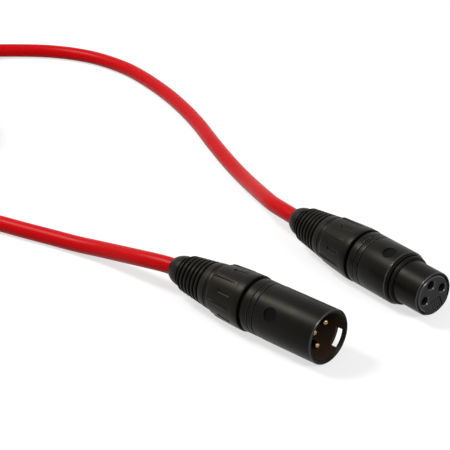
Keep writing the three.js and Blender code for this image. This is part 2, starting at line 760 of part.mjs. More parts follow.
// A strap round all the turns, in the plane that cuts the bundle at the tie's angle.
function coilTie(points) {
  const outward = new THREE.Vector3(Math.cos(tieAngle * degrees), Math.sin(tieAngle * degrees), 0);
  const along = new THREE.Vector3(0, 0, 1).cross(outward);
  const centre = new THREE.Vector3(...coilCentre, 0);
  const near = [];
  points.slice(1).forEach((point, i) => {
    for (let k = 0; k < 6; k += 1) {
      const place = points[i].clone().lerp(point, k / 6).sub(centre);
      const across = place.dot(outward);
      if (Math.abs(place.dot(along)) < tieWidth / 2 + 1 && across > 0) near.push([across, place.z]);
    }
  });
  const spans = [0, 1].map((axis) => near.map((place) => place[axis]));
  const clear = cableDiameter / 2 + gap;
  const [low, high] = [Math.min(...spans[0]) - clear, Math.max(...spans[0]) + clear];
  const [bottom, top] = [Math.min(...spans[1]) - clear, Math.max(...spans[1]) + clear];
  const outside = roundedBox(low, high, bottom, top, tieThickness, cableDiameter / 2 + tieThickness);
  outside.holes.push(roundedBox(low, high, bottom, top, 0, cableDiameter / 2));
  const options = { depth: tieWidth, bevelEnabled: false, curveSegments: 3 };
  const strap = new THREE.ExtrudeGeometry(outside, options).translate(0, 0, -tieWidth / 2);
  const turn = new THREE.Matrix4().makeBasis(outward, new THREE.Vector3(0, 0, 1), along.clone().negate());
  return strap.applyMatrix4(turn).translate(centre.x, centre.y, 0);
}

function roundedBox(low, high, bottom, top, grow, radius) {
  const [x0, x1, y0, y1] = [low - grow, high + grow, bottom - grow, top + grow];
  const shape = new THREE.Shape();
  shape.moveTo(x0 + radius, y0);
  shape.lineTo(x1 - radius, y0);
  shape.absarc(x1 - radius, y0 + radius, radius, -Math.PI / 2, 0, false);
  shape.lineTo(x1, y1 - radius);
  shape.absarc(x1 - radius, y1 - radius, radius, 0, Math.PI / 2, false);
  shape.lineTo(x0 + radius, y1);
  shape.absarc(x0 + radius, y1 - radius, radius, Math.PI / 2, Math.PI, false);
  shape.lineTo(x0, y0 + radius);
  shape.absarc(x0 + radius, y0 + radius, radius, Math.PI, 1.5 * Math.PI, false);
  return shape;
}

// ---------------------------------------------------------------- assembly

const tailLength = -bootFront(0) + bootLength; // the shell's rear edge to the boot's end

function connector(length, tail, turn, keyAngle) {
  const group = new THREE.Group();
  const axis = new THREE.Vector3(Math.cos(turn * degrees), Math.sin(turn * degrees), 0);
  group.rotation.set((keyAngle - 90) * degrees, 0, turn * degrees, 'ZYX');
  group.position.set(tail[0], tail[1], axisHeight).addScaledVector(axis, length);
  return group;
}

const maleLength = maleShellLength + tailLength;
const male = connector(maleLength, [0, 0], 0, maleKeyAngle);
male.add(part('male_shell', maleShell(), finishes.shell()));
male.add(part('male_insert', maleInsert(), finishes.insert()));
contactPlaces.forEach((place, i) => {
  male.add(part(`male_pin_${i + 1}`, malePin(place), finishes.gold()));
});
addTail(male, 'male', -maleShellLength, maleGripAngle - maleKeyAngle + 90);

const femaleLength = femaleShellLength + tailLength;
const female = connector(femaleLength, femaleTail, femaleTurn, femaleKeyAngle);
female.add(part('female_shell', femaleShell(), finishes.shell()));
female.add(part('female_insert', femaleInsert(), finishes.insert()));
contactPlaces.forEach((place, i) => {
  female.add(part(`female_socket_${i + 1}`, socket(place), finishes.gold()));
});
female.add(part('latch', latch(), finishes.latch()));
female.add(part('latch_spring', latchSpring(), finishes.spring()));
addTail(female, 'female', -femaleShellLength, femaleGripAngle - femaleKeyAngle + 90);

const connectors = new THREE.Group();
connectors.add(male, female);
connectors.updateMatrixWorld(true);

const coil = coilPath();
const jacketEnd = (group, shellLength) => group.localToWorld(vector([-shellLength + jacketAhead, 0, 0]));
const maleRun = runPath(
  jacketEnd(male, maleShellLength), vector([0, 0, axisHeight]), maleRoute, coil[0], coil[1],
);
const femaleRun = runPath(
  jacketEnd(female, femaleShellLength), vector([...femaleTail, axisHeight]), femaleRoute,
  coil.at(-1), coil.at(-2),
);
console.log('least gap between turns (mm):', leastGap(coil).toFixed(2));
const free = maleRun.length + femaleRun.length;
console.log('cable between the boots (mm):', (free + pathLength(coil)).toFixed(0));

const layout = new THREE.Group();
layout.add(connectors);
layout.add(part('cable_run_male', tube(maleRun.points, cableDiameter, runSides), finishes.jacket()));
layout.add(part('cable_coil', tube(coil, cableDiameter, coilSides), finishes.jacket()));
layout.add(part('cable_run_female', tube(femaleRun.points, cableDiameter, runSides), finishes.jacket()));
layout.add(part('coil_tie', coilTie(coil), finishes.tie()));

// The origin is on the table, under the middle of the two connectors.
const middle = new THREE.Box3().setFromObject(connectors, true).getCenter(new THREE.Vector3());
layout.position.set(-middle.x, -middle.y, 0);
console.log('male boot end (mm):', layout.position.x.toFixed(3), layout.position.y.toFixed(3));

const product = new THREE.Group();
product.add(layout);

export default product;
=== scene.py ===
import math

import bpy
import numpy as np
from mathutils import Matrix, Quaternion, Vector


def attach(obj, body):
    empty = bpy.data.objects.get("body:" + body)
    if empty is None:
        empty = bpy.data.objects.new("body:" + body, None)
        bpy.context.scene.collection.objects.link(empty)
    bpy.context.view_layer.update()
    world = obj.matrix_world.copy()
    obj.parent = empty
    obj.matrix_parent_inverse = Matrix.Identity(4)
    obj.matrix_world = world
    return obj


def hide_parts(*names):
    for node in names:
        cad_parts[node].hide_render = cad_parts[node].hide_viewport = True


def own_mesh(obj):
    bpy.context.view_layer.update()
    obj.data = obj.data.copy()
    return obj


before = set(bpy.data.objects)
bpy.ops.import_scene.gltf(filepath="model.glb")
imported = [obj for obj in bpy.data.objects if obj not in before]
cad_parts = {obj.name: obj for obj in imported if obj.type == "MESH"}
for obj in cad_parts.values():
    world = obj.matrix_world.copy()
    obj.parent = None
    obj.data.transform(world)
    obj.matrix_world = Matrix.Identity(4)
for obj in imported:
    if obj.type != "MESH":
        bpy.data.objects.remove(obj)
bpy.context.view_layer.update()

# A red microphone cable with a male and a female connector. A connector's sizes are millimetres
# in its own frame: the rim at x = 0, +X out of the front, +Z to the key, +Y to the side. The
# cable, the camera and the lamps are in metres in the row frame.
MM = 0.001
UP = np.array([0.0, 0.0, 1.0])
SQUARE = np.array([(-1, -1), (1, -1), (1, 1), (-1, 1)])  # its corners, 2 wide about its middle
BODY = "cable_assembly"
RING_RADIUS = 9.9  # the bushings' widest rings, on which both connectors lie


# ---------------------------------------------------------------- placing and meshes

def connector_frame(tail, length, turn, key):
    """Axis, side and key directions of a connector that lies on its ring, and its rim's place:
    the boot's end plus the length along the axis."""
    axis = np.array([math.cos(turn), math.sin(turn), 0.0])
    across = np.array([-math.sin(turn), math.cos(turn), 0.0])
    upright = math.cos(key) * across + math.sin(key) * UP
    exit_place = np.array([*tail, RING_RADIUS])
    return {
        "turn": np.stack([axis, np.cross(upright, axis), upright]),
        "exit": exit_place,
        "rim": exit_place + length * axis,
        "axis": axis,
    }


def placed(points, holder):
    """A connector's millimetres to metres in the row frame: rim + x axis + y side + z key."""
    return (points @ holder["turn"] + holder["rim"]) * MM


def skin(name, rings, closed=False):
    """Joins rings of equally many points into a closed surface: quads between neighbours, from
    the last ring to the first where closed, or else a flat face over each end. The UV is the
    share round the ring and the length along the rings' centres."""
    count, sides = rings.shape[:2]
    index = np.arange(count * sides).reshape(count, sides)
    after = np.roll(index, -1, 0)
    rows = slice(None) if closed else slice(None, -1)
    quads = np.stack([index, np.roll(index, -1, 1), np.roll(after, -1, 1), after], -1)[rows].reshape(-1, 4)
    centres = rings.mean(1)
    gaps = np.linalg.norm(np.roll(centres, -1, 0) - centres, axis=1)
    along = np.concatenate([[0.0], np.cumsum(gaps)])
    share = np.arange(sides + 1) / sides
    low = np.meshgrid(along[:-1], share[:-1], indexing="ij")
    high = np.meshgrid(along[1:], share[1:], indexing="ij")
    uv = np.stack([low[1], low[0], high[1], low[0], high[1], high[0], low[1], high[0]], -1)
    uv = uv[rows].reshape(-1, 4, 2)
    points = rings.reshape(-1, 3)
    a, b, c, d = np.moveaxis((points - points.mean(0))[quads], 1, 0)
    if (np.cross(a, b) * c + np.cross(a, c) * d).sum() < 0:
        quads, uv, index = quads[:, ::-1], uv[:, ::-1], index[:, ::-1]
    faces = quads.tolist()
    if not closed:
        faces += [index[0][::-1].tolist(), index[-1].tolist()]
    mesh = bpy.data.meshes.new(name)
    mesh.from_pydata(points.tolist(), [], faces)
    corners = np.zeros((len(mesh.loops), 2), np.float32)
    corners[:len(quads) * 4] = uv.reshape(-1, 2)
    mesh.uv_layers.new(name="along").data.foreach_set("uv", corners.ravel())
    mesh.update()
    piece = bpy.data.objects.new(name, mesh)
    bpy.context.scene.collection.objects.link(piece)
    return piece


def lathe(profile, sides=192):
    """Each profile point (x, r) goes round the X axis to (x, r sin a, r cos a), a from the key."""
    turn = np.arange(sides) * 2 * np.pi / sides
    x, radius = np.asarray(profile, float).T
    return np.stack([
        np.repeat(x[:, None], sides, 1), radius[:, None] * np.sin(turn), radius[:, None] * np.cos(turn),
    ], -1)


def softened(profile, size, closed=True, steps=4):
    """Each corner P turns into (1-t)^2 A + 2t(1-t) P + t^2 B, where A and B lie on the two edges,
    size away from P or 0.4 of the shorter edge where that is less."""
    corner = np.asarray(profile, float)
    back, ahead = np.roll(corner, 1, 0) - corner, np.roll(corner, -1, 0) - corner
    back_length = np.linalg.norm(back, axis=1, keepdims=True)
    ahead_length = np.linalg.norm(ahead, axis=1, keepdims=True)
    reach = np.minimum(size, 0.4 * np.minimum(back_length, ahead_length))
    start, stop = corner + back / back_length * reach, corner + ahead / ahead_length * reach
    t = np.linspace(0, 1, steps)[None, :, None]
    curve = (1 - t) ** 2 * start[:, None] + 2 * t * (1 - t) * corner[:, None] + t ** 2 * stop[:, None]
    if closed:
        return curve.reshape(-1, 2)
    return np.vstack([corner[:1], curve[1:-1].reshape(-1, 2), corner[-1:]])


def rod(back, front, radius, place=(0.0, 0.0), sides=64):
    """A cylinder along X from back to front, its axis moved to the place (side, key)."""
    return skin("tool", lathe([(back, radius), (front, radius)], sides) + np.array([0.0, *place]))


def slab(outline, width):
    """A side view in x and z carried from y = -width / 2 to y = width / 2."""
    x, z = np.asarray(outline, float).T
    return skin("tool", np.stack([np.stack([x, np.full_like(x, y), z], -1) for y in (-width / 2, width / 2)]))


def block(back, front, bottom, top, width):
    """A box between x = back and front and z = bottom and top, even about y = 0."""
    return slab([(back, bottom), (front, bottom), (front, top), (back, top)], width)


def carve(piece, tool, how="DIFFERENCE"):
    """Cuts the tool out of the piece, joins both or keeps what they share; the tool then goes."""
    step = piece.modifiers.new("carve", "BOOLEAN")
    step.object, step.operation, step.solver = tool, how, "EXACT"
    result = bpy.data.meshes.new_from_object(piece.evaluated_get(bpy.context.evaluated_depsgraph_get()))
    piece.modifiers.clear()
    piece.data = result
    bpy.data.objects.remove(tool)


def dressed(piece, finish, nodes, body=BODY, corner=40):
    """A piece in its place: smooth but for edges sharper than the corner angle, with its finish,
    on its body."""
    piece.data.shade_smooth()
    piece.data.set_sharp_from_angle(angle=math.radians(corner))
    piece.data.materials.clear()
    piece.data.materials.append(finish)
    piece.data.update()
    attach(piece, body)
    if nodes:
        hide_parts(*nodes)
    return piece


def settle(piece, name, holder, finish, nodes, body=BODY, corner=32):
    """Puts a piece that was made in a connector's own frame in its place, and dresses it."""
    mesh = piece.data
    points = np.empty(len(mesh.vertices) * 3)
    mesh.vertices.foreach_get("co", points)
    mesh.vertices.foreach_set("co", placed(points.reshape(-1, 3), holder).ravel())
    piece.name = mesh.name = name
    return dressed(piece, finish, nodes, body, corner)


def recoat(piece, holder, finish, back, front, low, high):
    """Gives another finish to the faces of a settled piece whose middles lie between the two
    places along the axis and the two distances from it."""
    mesh = piece.data
    middle = np.empty(len(mesh.polygons) * 3)
    mesh.polygons.foreach_get("center", middle)
    own = (middle.reshape(-1, 3) / MM - holder["rim"]) @ holder["turn"].T
    away = np.hypot(own[:, 1], own[:, 2])
    chosen = (own[:, 0] > back) & (own[:, 0] < front) & (away > low) & (away < high)
    places = np.empty(len(mesh.polygons), np.int32)
    mesh.polygons.foreach_get("material_index", places)
    mesh.materials.append(finish)
    places[chosen] = len(mesh.materials) - 1
    mesh.polygons.foreach_set("material_index", places)
    mesh.update()


# ---------------------------------------------------------------- materials

def linear(code):
    """sRGB hex to linear light: c / 12.92 up to 0.04045, above it ((c + 0.055) / 1.055) ^ 2.4."""
    value = np.array([int(code[i:i + 2], 16) for i in (1, 3, 5)]) / 255
    light = np.where(value <= 0.04045, value / 12.92, ((value + 0.055) / 1.055) ** 2.4)
    return (*light.tolist(), 1.0)


def new_tree(name):
    """An empty node material."""
    finish = bpy.data.materials.new(name)
    finish.use_nodes = True
    finish.node_tree.nodes.clear()
    return finish, finish.node_tree


def add(tree, kind, inputs=None, **settings):
    """Adds a node with its settings; an input is a value, or a socket that is linked to it."""
    node = tree.nodes.new(kind)
    for key, value in settings.items():
        setattr(node, key, value)
    for key, value in (inputs or {}).items():
        if isinstance(value, bpy.types.NodeSocket):
            tree.links.new(value, node.inputs[key])
        else:
            node.inputs[key].default_value = value
    return node


CLOUD = 6  # mm, size of the faint clouds in a moulded or coated surface


def moulded(name, dark, light, grain, relief, rough, **shader):
    """A surface straight from its mould or coat: grain is the texture's size and relief its
    depth in mm, rough the lowest and highest roughness, dark and light its two close colours."""
    finish, tree = new_tree(name)
    place = add(tree, "ShaderNodeTexCoord").outputs["Object"]
    fine = add(tree, "ShaderNodeTexNoise", {"Vector": place, "Scale": 1 / (grain * MM), "Detail": 3.0})
    broad = add(tree, "ShaderNodeTexNoise", {"Vector": place, "Scale": 1 / (CLOUD * MM), "Detail": 4.0})
    colour = add(tree, "ShaderNodeMix", {
        "Factor": broad.outputs["Fac"], "A": linear(dark), "B": linear(light),
    }, data_type="RGBA")
    gloss = add(tree, "ShaderNodeMapRange", {
        "Value": broad.outputs["Fac"], "From Min": 0.3, "From Max": 0.7,
        "To Min": rough[0], "To Max": rough[1],
    })
    bump = add(tree, "ShaderNodeBump", {
        "Height": fine.outputs["Fac"], "Distance": relief * MM, "Strength": 1.0,
    })
    surface = add(tree, "ShaderNodeBsdfPrincipled", {
        "Base Color": colour.outputs["Result"], "Roughness": gloss.outputs[0], "Normal": bump.outputs[0],
        **{key.replace("_", " "): value for key, value in shader.items()},
    })
    add(tree, "ShaderNodeOutputMaterial", {"Surface": surface.outputs[0]})
    return finish


# ---------------------------------------------------------------- where the connectors lie, and the camera

MALE_REAR, FEMALE_REAR = -30.4, -33.2  # the rear edges of the solid shells
TAIL = 38.89  # from there back to the boot's end
MALE_TAIL = np.array([-38.692, -26.581])  # the male boot's end, seen from above
FEMALE_TAIL = MALE_TAIL + (4.9, 57.7)
FEMALE_TURN = -9.4  # degrees
MALE_KEY, FEMALE_KEY = -29, -70  # degrees from level

MALE = connector_frame(MALE_TAIL, TAIL - MALE_REAR, 0.0, math.radians(MALE_KEY))
FEMALE = connector_frame(FEMALE_TAIL, TAIL - FEMALE_REAR, math.radians(FEMALE_TURN), math.radians(FEMALE_KEY))

CAMERA_PLACE = (0.3216, -0.3803, 0.2766)
CAMERA_TARGET = (-0.0499, 0.0097, 0.00945)


def aim(thing, place, target):
    """Puts a camera or lamp at its place with its view towards the target."""
    thing.location = place
    thing.rotation_euler = (Vector(target) - Vector(place)).to_track_quat("-Z", "Y").to_euler()
    bpy.context.scene.collection.objects.link(thing)


camera = bpy.data.objects.new("camera", bpy.data.cameras.new("camera"))
camera.data.lens = 132
camera.data.sensor_width = 36
camera.data.clip_start = 0.02
aim(camera, CAMERA_PLACE, CAMERA_TARGET)
bpy.context.scene.camera = camera


# ---------------------------------------------------------------- the cable and its strap

SHIFT = np.array([*MALE_TAIL, 0.0]) * MM  # the routes start from the male boot's end
RADIUS = 0.003
REST = RADIUS + 0.0001  # centre line of the cable where it lies on the table
MALE_ROUTE = [
    (-0.0063, -0.0009, 0.0097), (-0.0152, -0.0017, 0.0086), (-0.0263, -0.0018, 0.0066),
    (-0.0372, -0.002, 0.0047), (-0.048, -0.0035, 0.0035), (-0.0598, -0.0059, REST),
    (-0.0712, -0.0089, REST), (-0.0823, -0.0116, REST), (-0.097, -0.0153, REST),
    (-0.113, -0.019, REST), (-0.129, -0.0228, REST), (-0.1452, -0.0272, REST), (-0.1586, -0.0312, REST),
]
FEMALE_ROUTE = [
    (-0.0022, 0.0594, 0.0097), (-0.0112, 0.0624, 0.0089), (-0.0212, 0.0677, 0.0074),
    (-0.0305, 0.0731, 0.0057), (-0.0399, 0.0784, 0.0043), (-0.0511, 0.0843, 0.0034),
    (-0.0639, 0.0909, REST), (-0.0791, 0.099, REST), (-0.0947, 0.1076, REST),
    (-0.1119, 0.1158, REST), (-0.1311, 0.1233, REST), (-0.153, 0.1296, REST),
    (-0.17, 0.132, REST), (-0.189, 0.1304, REST), (-0.207, 0.1228, REST),
    (-0.2225, 0.1093, 0.0033), (-0.2335, 0.092, 0.0046), (-0.2403, 0.073, 0.0082),
    (-0.2422, 0.053, 0.0134), (-0.2404, 0.033, 0.0184), (-0.2365, 0.016, 0.0215),
]
COIL_CENTRE = np.array([-0.188, 0.0045, 0.0]) + SHIFT
COIL_IN, COIL_OUT = 284.9, 198.6  # degrees round the coil where the two runs join
COIL_TURNS = 11 + (COIL_IN - COIL_OUT) / 360
COIL_RADIUS = 0.0335  # at the middle of the turns
LAYERS = 4
PITCH = 0.0065  # from turn to turn and from layer to layer
TIE_ANGLE = 120
TIE_LIFT = 0.0013  # the bundle is lifted by this where the strap goes under it
TIE_NEAR, TIE_FAR = 25, 60  # degrees from the strap where the lift starts to fall and has gone
HIDDEN = 0.029  # the cable goes on inside each boot for this length
LEAD_OUT = 0.007  # the boot steers the cable straight out over this length
CABLE_STEP = 0.003
FACE_GAP = 0.0003  # from the runs to the coil, and from the cable to its strap
STRAP_WIDTH, STRAP_THICKNESS = 0.012, 0.0009
STRAP_STEP = 0.0008
END_WIDTH, END_THICKNESS = 0.0116, 0.0007  # the strap's free end
END_CLEAR = FACE_GAP + STRAP_THICKNESS + 0.00005
END_SHARE = 0.32  # of the way round the bundle
END_TIP = 0.006  # the free end is rounded over this length


def smooth_step(value, low, high):
    """0 below low, 1 above high, and 3s^2 - 2s^3 of the share s between."""
    share = np.clip((value - low) / (high - low), 0, 1)
    return share * share * (3 - 2 * share)


def coil_line(turns):
    """The coil's centre line at a number of turns: the radius runs steadily in and out again
    from layer to layer, the height climbs a layer in the half turn round each change, and the
    whole bundle is lifted a little where the strap goes under it."""
    per_layer = COIL_TURNS / LAYERS
    reach = PITCH * per_layer
    radius = COIL_RADIUS + reach * (np.abs((turns / per_layer) % 2 - 1) - 0.5)
    changes = np.arange(1, LAYERS)[:, None] * per_layer
    climb = smooth_step(turns - changes, -0.25, 0.25).sum(0)
    angle = COIL_IN - turns * 360
    from_tie = np.abs((angle - TIE_ANGLE + 180) % 360 - 180)
    height = REST + climb * PITCH + TIE_LIFT * (1 - smooth_step(from_tie, TIE_NEAR, TIE_FAR))
    turned = np.radians(angle)
    flat = np.stack([radius * np.cos(turned), radius * np.sin(turned), height], -1)
    return flat + COIL_CENTRE


def smooth_curve(points, steps=24):
    """The curve through the points whose slope at each one is half the way between its two
    neighbours; past the ends the neighbours are mirrored."""
    ends = (2 * points[0] - points[1], 2 * points[-1] - points[-2])
    line = np.vstack([ends[0], points, ends[1]])
    a, b, c, d = (line[k:len(line) - 3 + k, None] for k in range(4))
    t = np.linspace(0, 1, steps, endpoint=False)[None, :, None]
    curve = b + 0.5 * ((c - a) * t + (2 * a - 5 * b + 4 * c - d) * t ** 2 + (3 * b - 3 * c + d - a) * t ** 3)
    return np.vstack([curve.reshape(-1, 3), points[-1:]])


def even_steps(points, step):
    """Points at equal distances along a line."""
    run = np.concatenate([[0.0], np.cumsum(np.linalg.norm(np.diff(points, axis=0), axis=1))])
    places = np.linspace(0, run[-1], round(run[-1] / step) + 1)
    return np.stack([np.interp(places, run, points[:, axis]) for axis in range(3)], -1)


def free_run(holder, route, coil_end, coil_next):
    """From inside the boot, out along the axis, through the route and onto the coil's end."""
    leave, axis = holder["exit"] * MM, holder["axis"]
    outward = (coil_end - coil_next) / np.linalg.norm(coil_end - coil_next)
    joint = [coil_end + outward * (2 * RADIUS + FACE_GAP), coil_end + outward * FACE_GAP]
    curve = smooth_curve(np.vstack([leave + axis * LEAD_OUT, leave, np.array(route) + SHIFT, joint]))
    return np.vstack([leave + axis * HIDDEN, curve])


def flat_end(end, inner):
    """The coil's end goes straight on for one diameter, level."""
    way = (end - inner) * np.array([1.0, 1.0, 0.0])
    return end + way / np.linalg.norm(way) * 2 * RADIUS


def cable_centres(coil):
    """The male run, the coil and the female run backwards, as one line in even steps."""
    near = coil_line(np.array([0.001, COIL_TURNS - 0.001]))
    first, last = flat_end(coil[0], near[0]), flat_end(coil[-1], near[1])
    male = free_run(MALE, MALE_ROUTE, first, coil[0])
    female = free_run(FEMALE, FEMALE_ROUTE, last, coil[-1])
    return even_steps(np.vstack([male, first, coil, last, female[::-1]]), CABLE_STEP)


def tube(name, centres, radius, sides=20):
    """Rings centre + r (cos a · side + sin a · rise), square to the line, side being level."""
    along = np.gradient(centres, axis=0)
    along /= np.linalg.norm(along, axis=1, keepdims=True)
    side = np.cross(UP, along)
    side /= np.linalg.norm(side, axis=1, keepdims=True)
    rise = np.cross(along, side)
    turn = (np.arange(sides) * 2 * np.pi / sides)[None, :, None]
    ring = np.cos(turn) * side[:, None] + np.sin(turn) * rise[:, None]
    return skin(name, centres[:, None] + radius * ring)


def jacket_finish():
    """Flexible PVC, extruded: red through and through, a soft sheen, faint long waviness from
    the cores twisted inside it, and a fine matt bloom that breaks the gloss up."""
    finish, tree = new_tree("red_extruded_pvc")
    places = add(tree, "ShaderNodeTexCoord")
    bloom = add(tree, "ShaderNodeTexNoise", {
        "Vector": places.outputs["Object"], "Scale": 1 / (5 * MM), "Detail": 5.0,
    })
    skin_grain = add(tree, "ShaderNodeTexNoise", {
        "Vector": places.outputs["Object"], "Scale": 1 / (0.35 * MM), "Detail": 2.0,
    })
    colour = add(tree, "ShaderNodeMix", {
        "Factor": bloom.outputs["Fac"], "A": linear("#b80309"), "B": linear("#cf060e"),
    }, data_type="RGBA")
    gloss = add(tree, "ShaderNodeMapRange", {
        "Value": bloom.outputs["Fac"], "From Min": 0.3, "From Max": 0.7, "To Min": 0.3, "To Max": 0.38,
    })
    split = add(tree, "ShaderNodeSeparateXYZ", {"Vector": places.outputs["UV"]})
    # the two cores make one turn in 76 mm, so a wave 0.012 mm high passes every 38 mm
    lay = add(tree, "ShaderNodeMath", {
        0: split.outputs["Y"], 1: 2 * math.pi / (38 * MM),
    }, operation="MULTIPLY")
    wave = add(tree, "ShaderNodeMath", {
        0: split.outputs["X"], 1: 4 * math.pi, 2: lay.outputs[0],
    }, operation="MULTIPLY_ADD")
    height = add(tree, "ShaderNodeMath", {0: wave.outputs[0]}, operation="SINE")
    cores = add(tree, "ShaderNodeBump", {
        "Height": height.outputs[0], "Distance": 0.012 * MM, "Strength": 1.0,
    })
    bump = add(tree, "ShaderNodeBump", {
        "Height": skin_grain.outputs["Fac"], "Distance": 0.01 * MM, "Strength": 1.0,
        "Normal": cores.outputs[0],
    })
    surface = add(tree, "ShaderNodeBsdfPrincipled", {
        "Base Color": colour.outputs["Result"], "Roughness": gloss.outputs[0], "Normal": bump.outputs[0],
        "IOR": 1.5, "Specular IOR Level": 0.07,
    })
    add(tree, "ShaderNodeOutputMaterial", {"Surface": surface.outputs[0]})
    return finish


def strap_finish():
    """Woven nylon hook-and-loop strap: black, dull, with a rib across every 0.8 mm and fuzz."""
    finish, tree = new_tree("black_woven_nylon")
    places = add(tree, "ShaderNodeTexCoord")
    split = add(tree, "ShaderNodeSeparateXYZ", {"Vector": places.outputs["UV"]})
    rib = add(tree, "ShaderNodeMath", {
        0: split.outputs["Y"], 1: 2 * math.pi / (0.8 * MM),
    }, operation="MULTIPLY")
    yarn = add(tree, "ShaderNodeMath", {0: rib.outputs[0]}, operation="SINE")
    fuzz = add(tree, "ShaderNodeTexNoise", {
        "Vector": places.outputs["Object"], "Scale": 1 / (0.3 * MM), "Detail": 4.0,
    })
    height = add(tree, "ShaderNodeMath", {
        0: yarn.outputs[0], 1: 0.3, 2: fuzz.outputs["Fac"],
    }, operation="MULTIPLY_ADD")
    bump = add(tree, "ShaderNodeBump", {"Height": height.outputs[0], "Distance": 0.15 * MM, "Strength": 1.0})
    colour = add(tree, "ShaderNodeMix", {
        "Factor": fuzz.outputs["Fac"], "A": linear("#0e0e0f"), "B": linear("#2c2c2e"),
    }, data_type="RGBA")
    surface = add(tree, "ShaderNodeBsdfPrincipled", {
        "Base Color": colour.outputs["Result"], "Roughness": 0.92, "Normal": bump.outputs[0],
        "Specular IOR Level": 0.2, "Sheen Weight": 0.25, "Sheen Roughness": 0.5,
    })
    add(tree, "ShaderNodeOutputMaterial", {"Surface": surface.outputs[0]})
    return finish


def strap_outline(line, clear):
    """A box with round corners about the turns that pass the tie's plane within the strap's half
    width and 1 mm, clear of the cable's skin by the given distance: points in even steps from
    the middle of the top, and the direction square to them."""
    outward = np.array([math.cos(math.radians(TIE_ANGLE)), math.sin(math.radians(TIE_ANGLE)), 0.0])
    beside = np.array([-outward[1], outward[0], 0.0])
    place = line - COIL_CENTRE
    across, level = place @ outward, place @ beside
    near = (np.abs(level) < STRAP_WIDTH / 2 + 0.001) & (across > 0)
    low = np.array([across[near].min(), line[near, 2].min()]) - RADIUS - clear
    high = np.array([across[near].max(), line[near, 2].max()]) + RADIUS + clear
    radius = RADIUS + clear
    centre, half = (low + high) / 2, (high - low) / 2 - radius
    corner = np.array([(1, 1), (1, -1), (-1, -1), (-1, 1)]) * half
    turn = np.radians(90 - np.linspace(0, 90, 13)[None, :] - 90 * np.arange(4)[:, None])
    arcs = corner[:, None] + radius * np.stack([np.cos(turn), np.sin(turn)], -1)
    loop = np.vstack([[0, high[1] - centre[1]], arcs.reshape(-1, 2), [0, high[1] - centre[1]]])
    flat = even_steps(np.column_stack([loop, np.zeros(len(loop))]), STRAP_STEP)[:, :2] + centre
    return COIL_CENTRE + flat[:, :1] * outward + flat[:, 1:] * UP, beside


def strap(name, line, clear, thickness, width, part=1.0):
    """A flat section, width by thickness, carried along the strap's outline or along part of it,
    where it draws in to a round tip as a circle does."""
    centres, beside = strap_outline(line, clear + thickness / 2)
    whole = part == 1.0
    centres = centres[:-1] if whole else centres[:round(len(centres) * part)]
    along = np.roll(centres, -1, 0) - np.roll(centres, 1, 0) if whole else np.gradient(centres, axis=0)
    along /= np.linalg.norm(along, axis=1, keepdims=True)
    rise = np.cross(beside, along)
    flat = SQUARE / 2 * (width, thickness)
    section = softened(flat, thickness * 0.35)
    left = np.linalg.norm(centres - centres[-1], axis=1)
    narrow = np.ones(len(centres)) if whole else np.sqrt(1 - (1 - np.clip(left / END_TIP + 0.02, 0, 1)) ** 2)
    rings = centres[:, None] + rise[:, None] * section[None, :, 1:]
    rings = rings + beside * section[None, :, :1] * narrow[:, None, None]
    return skin(name, rings, closed=whole)


coil = coil_line(np.linspace(0, COIL_TURNS, round(COIL_TURNS * 72) + 1))
centres = cable_centres(coil)
jacket = jacket_finish()
woven = strap_finish()
cable_solids = ["cable_run_male", "cable_coil", "cable_run_female"]
cable = dressed(tube("cable", centres, RADIUS), jacket, cable_solids)
loop = strap("tie_loop", coil, FACE_GAP, STRAP_THICKNESS, STRAP_WIDTH)
tie = dressed(loop, woven, ["coil_tie"])
free_end = strap("tie_end", coil, END_CLEAR, END_THICKNESS, END_WIDTH, END_SHARE)
tie_end = dressed(free_end, woven, [])


# ---------------------------------------------------------------- finishes of the connectors

# die-cast zinc with a satin black coat: deep grey, broad soft highlights with a faint warm cast
shell_coat = moulded(
    "satin_black_coated_zinc", "#080807", "#0d0d0c", 0.25, 0.004, (0.32, 0.4), Specular_IOR_Level=0.085,
    Specular_Tint=linear("#fff5e0"),
)
# the same coat on the sharp edges, rubbed smooth by handling: thin bright lines where a lamp meets it
rubbed_edge = moulded(
    "rubbed_edge_of_black_coat", "#0f0f0e", "#191918", 0.25, 0.001, (0.14, 0.2), Specular_IOR_Level=0.5,
)
# the coat inside the mouth, thin and dull, painted brown: painted warm light from the pins' gold in the
# shaded bore
bore_painted_gold_light = moulded(
    "thin_dull_bore_coat_painted_gold_light", "#32261c", "#3c2f24", 0.25, 0.006, (0.5, 0.6), Specular_IOR_Level=0.1,
)
# unfilled plastic of the plain inlays: the deepest black of all, without a highlight
inlay_plastic = moulded(
    "dull_black_inlay_plastic", "#040404", "#080808", 0.3, 0.01, (0.5, 0.6), Specular_IOR_Level=0.05,
)
# glass-filled nylon, moulded against a spark-eroded tool: matt, slightly grey and cloudy
grip_nylon = moulded(
    "black_moulded_nylon", "#090908", "#0f0f0e", 0.3, 0.008, (0.32, 0.4), Specular_IOR_Level=0.1,
    Specular_Tint=linear("#fff1d4"),
)
# thermoplastic rubber: a dull black with a slight bloom
boot_rubber = moulded(
    "black_moulded_elastomer", "#0b0b0a", "#121210", 0.35, 0.015, (0.38, 0.46), Specular_IOR_Level=0.11,
    Specular_Tint=linear("#fff5e0"),
)
# insulator plastic: dark grey, fine grained and dull
insert_plastic = moulded(
    "dark_grey_insulator_plastic", "#19191a", "#232324", 0.25, 0.01, (0.5, 0.6), Specular_IOR_Level=0.15,
)
# the same plastic, rubbed smooth by pins and mating rims on the bevels round the face and holes
rubbed_plastic = moulded(
    "rubbed_insulator_plastic", "#252526", "#303031", 0.25, 0.002, (0.16, 0.24), Specular_IOR_Level=0.5,
)
# the same plastic round the pins, painted brownish: painted light that the gold throws on it
insert_painted_gold_light = moulded(
    "insulator_plastic_painted_gold_light", "#46372a", "#564534", 0.25, 0.01, (0.5, 0.6), Specular_IOR_Level=0.15,
)
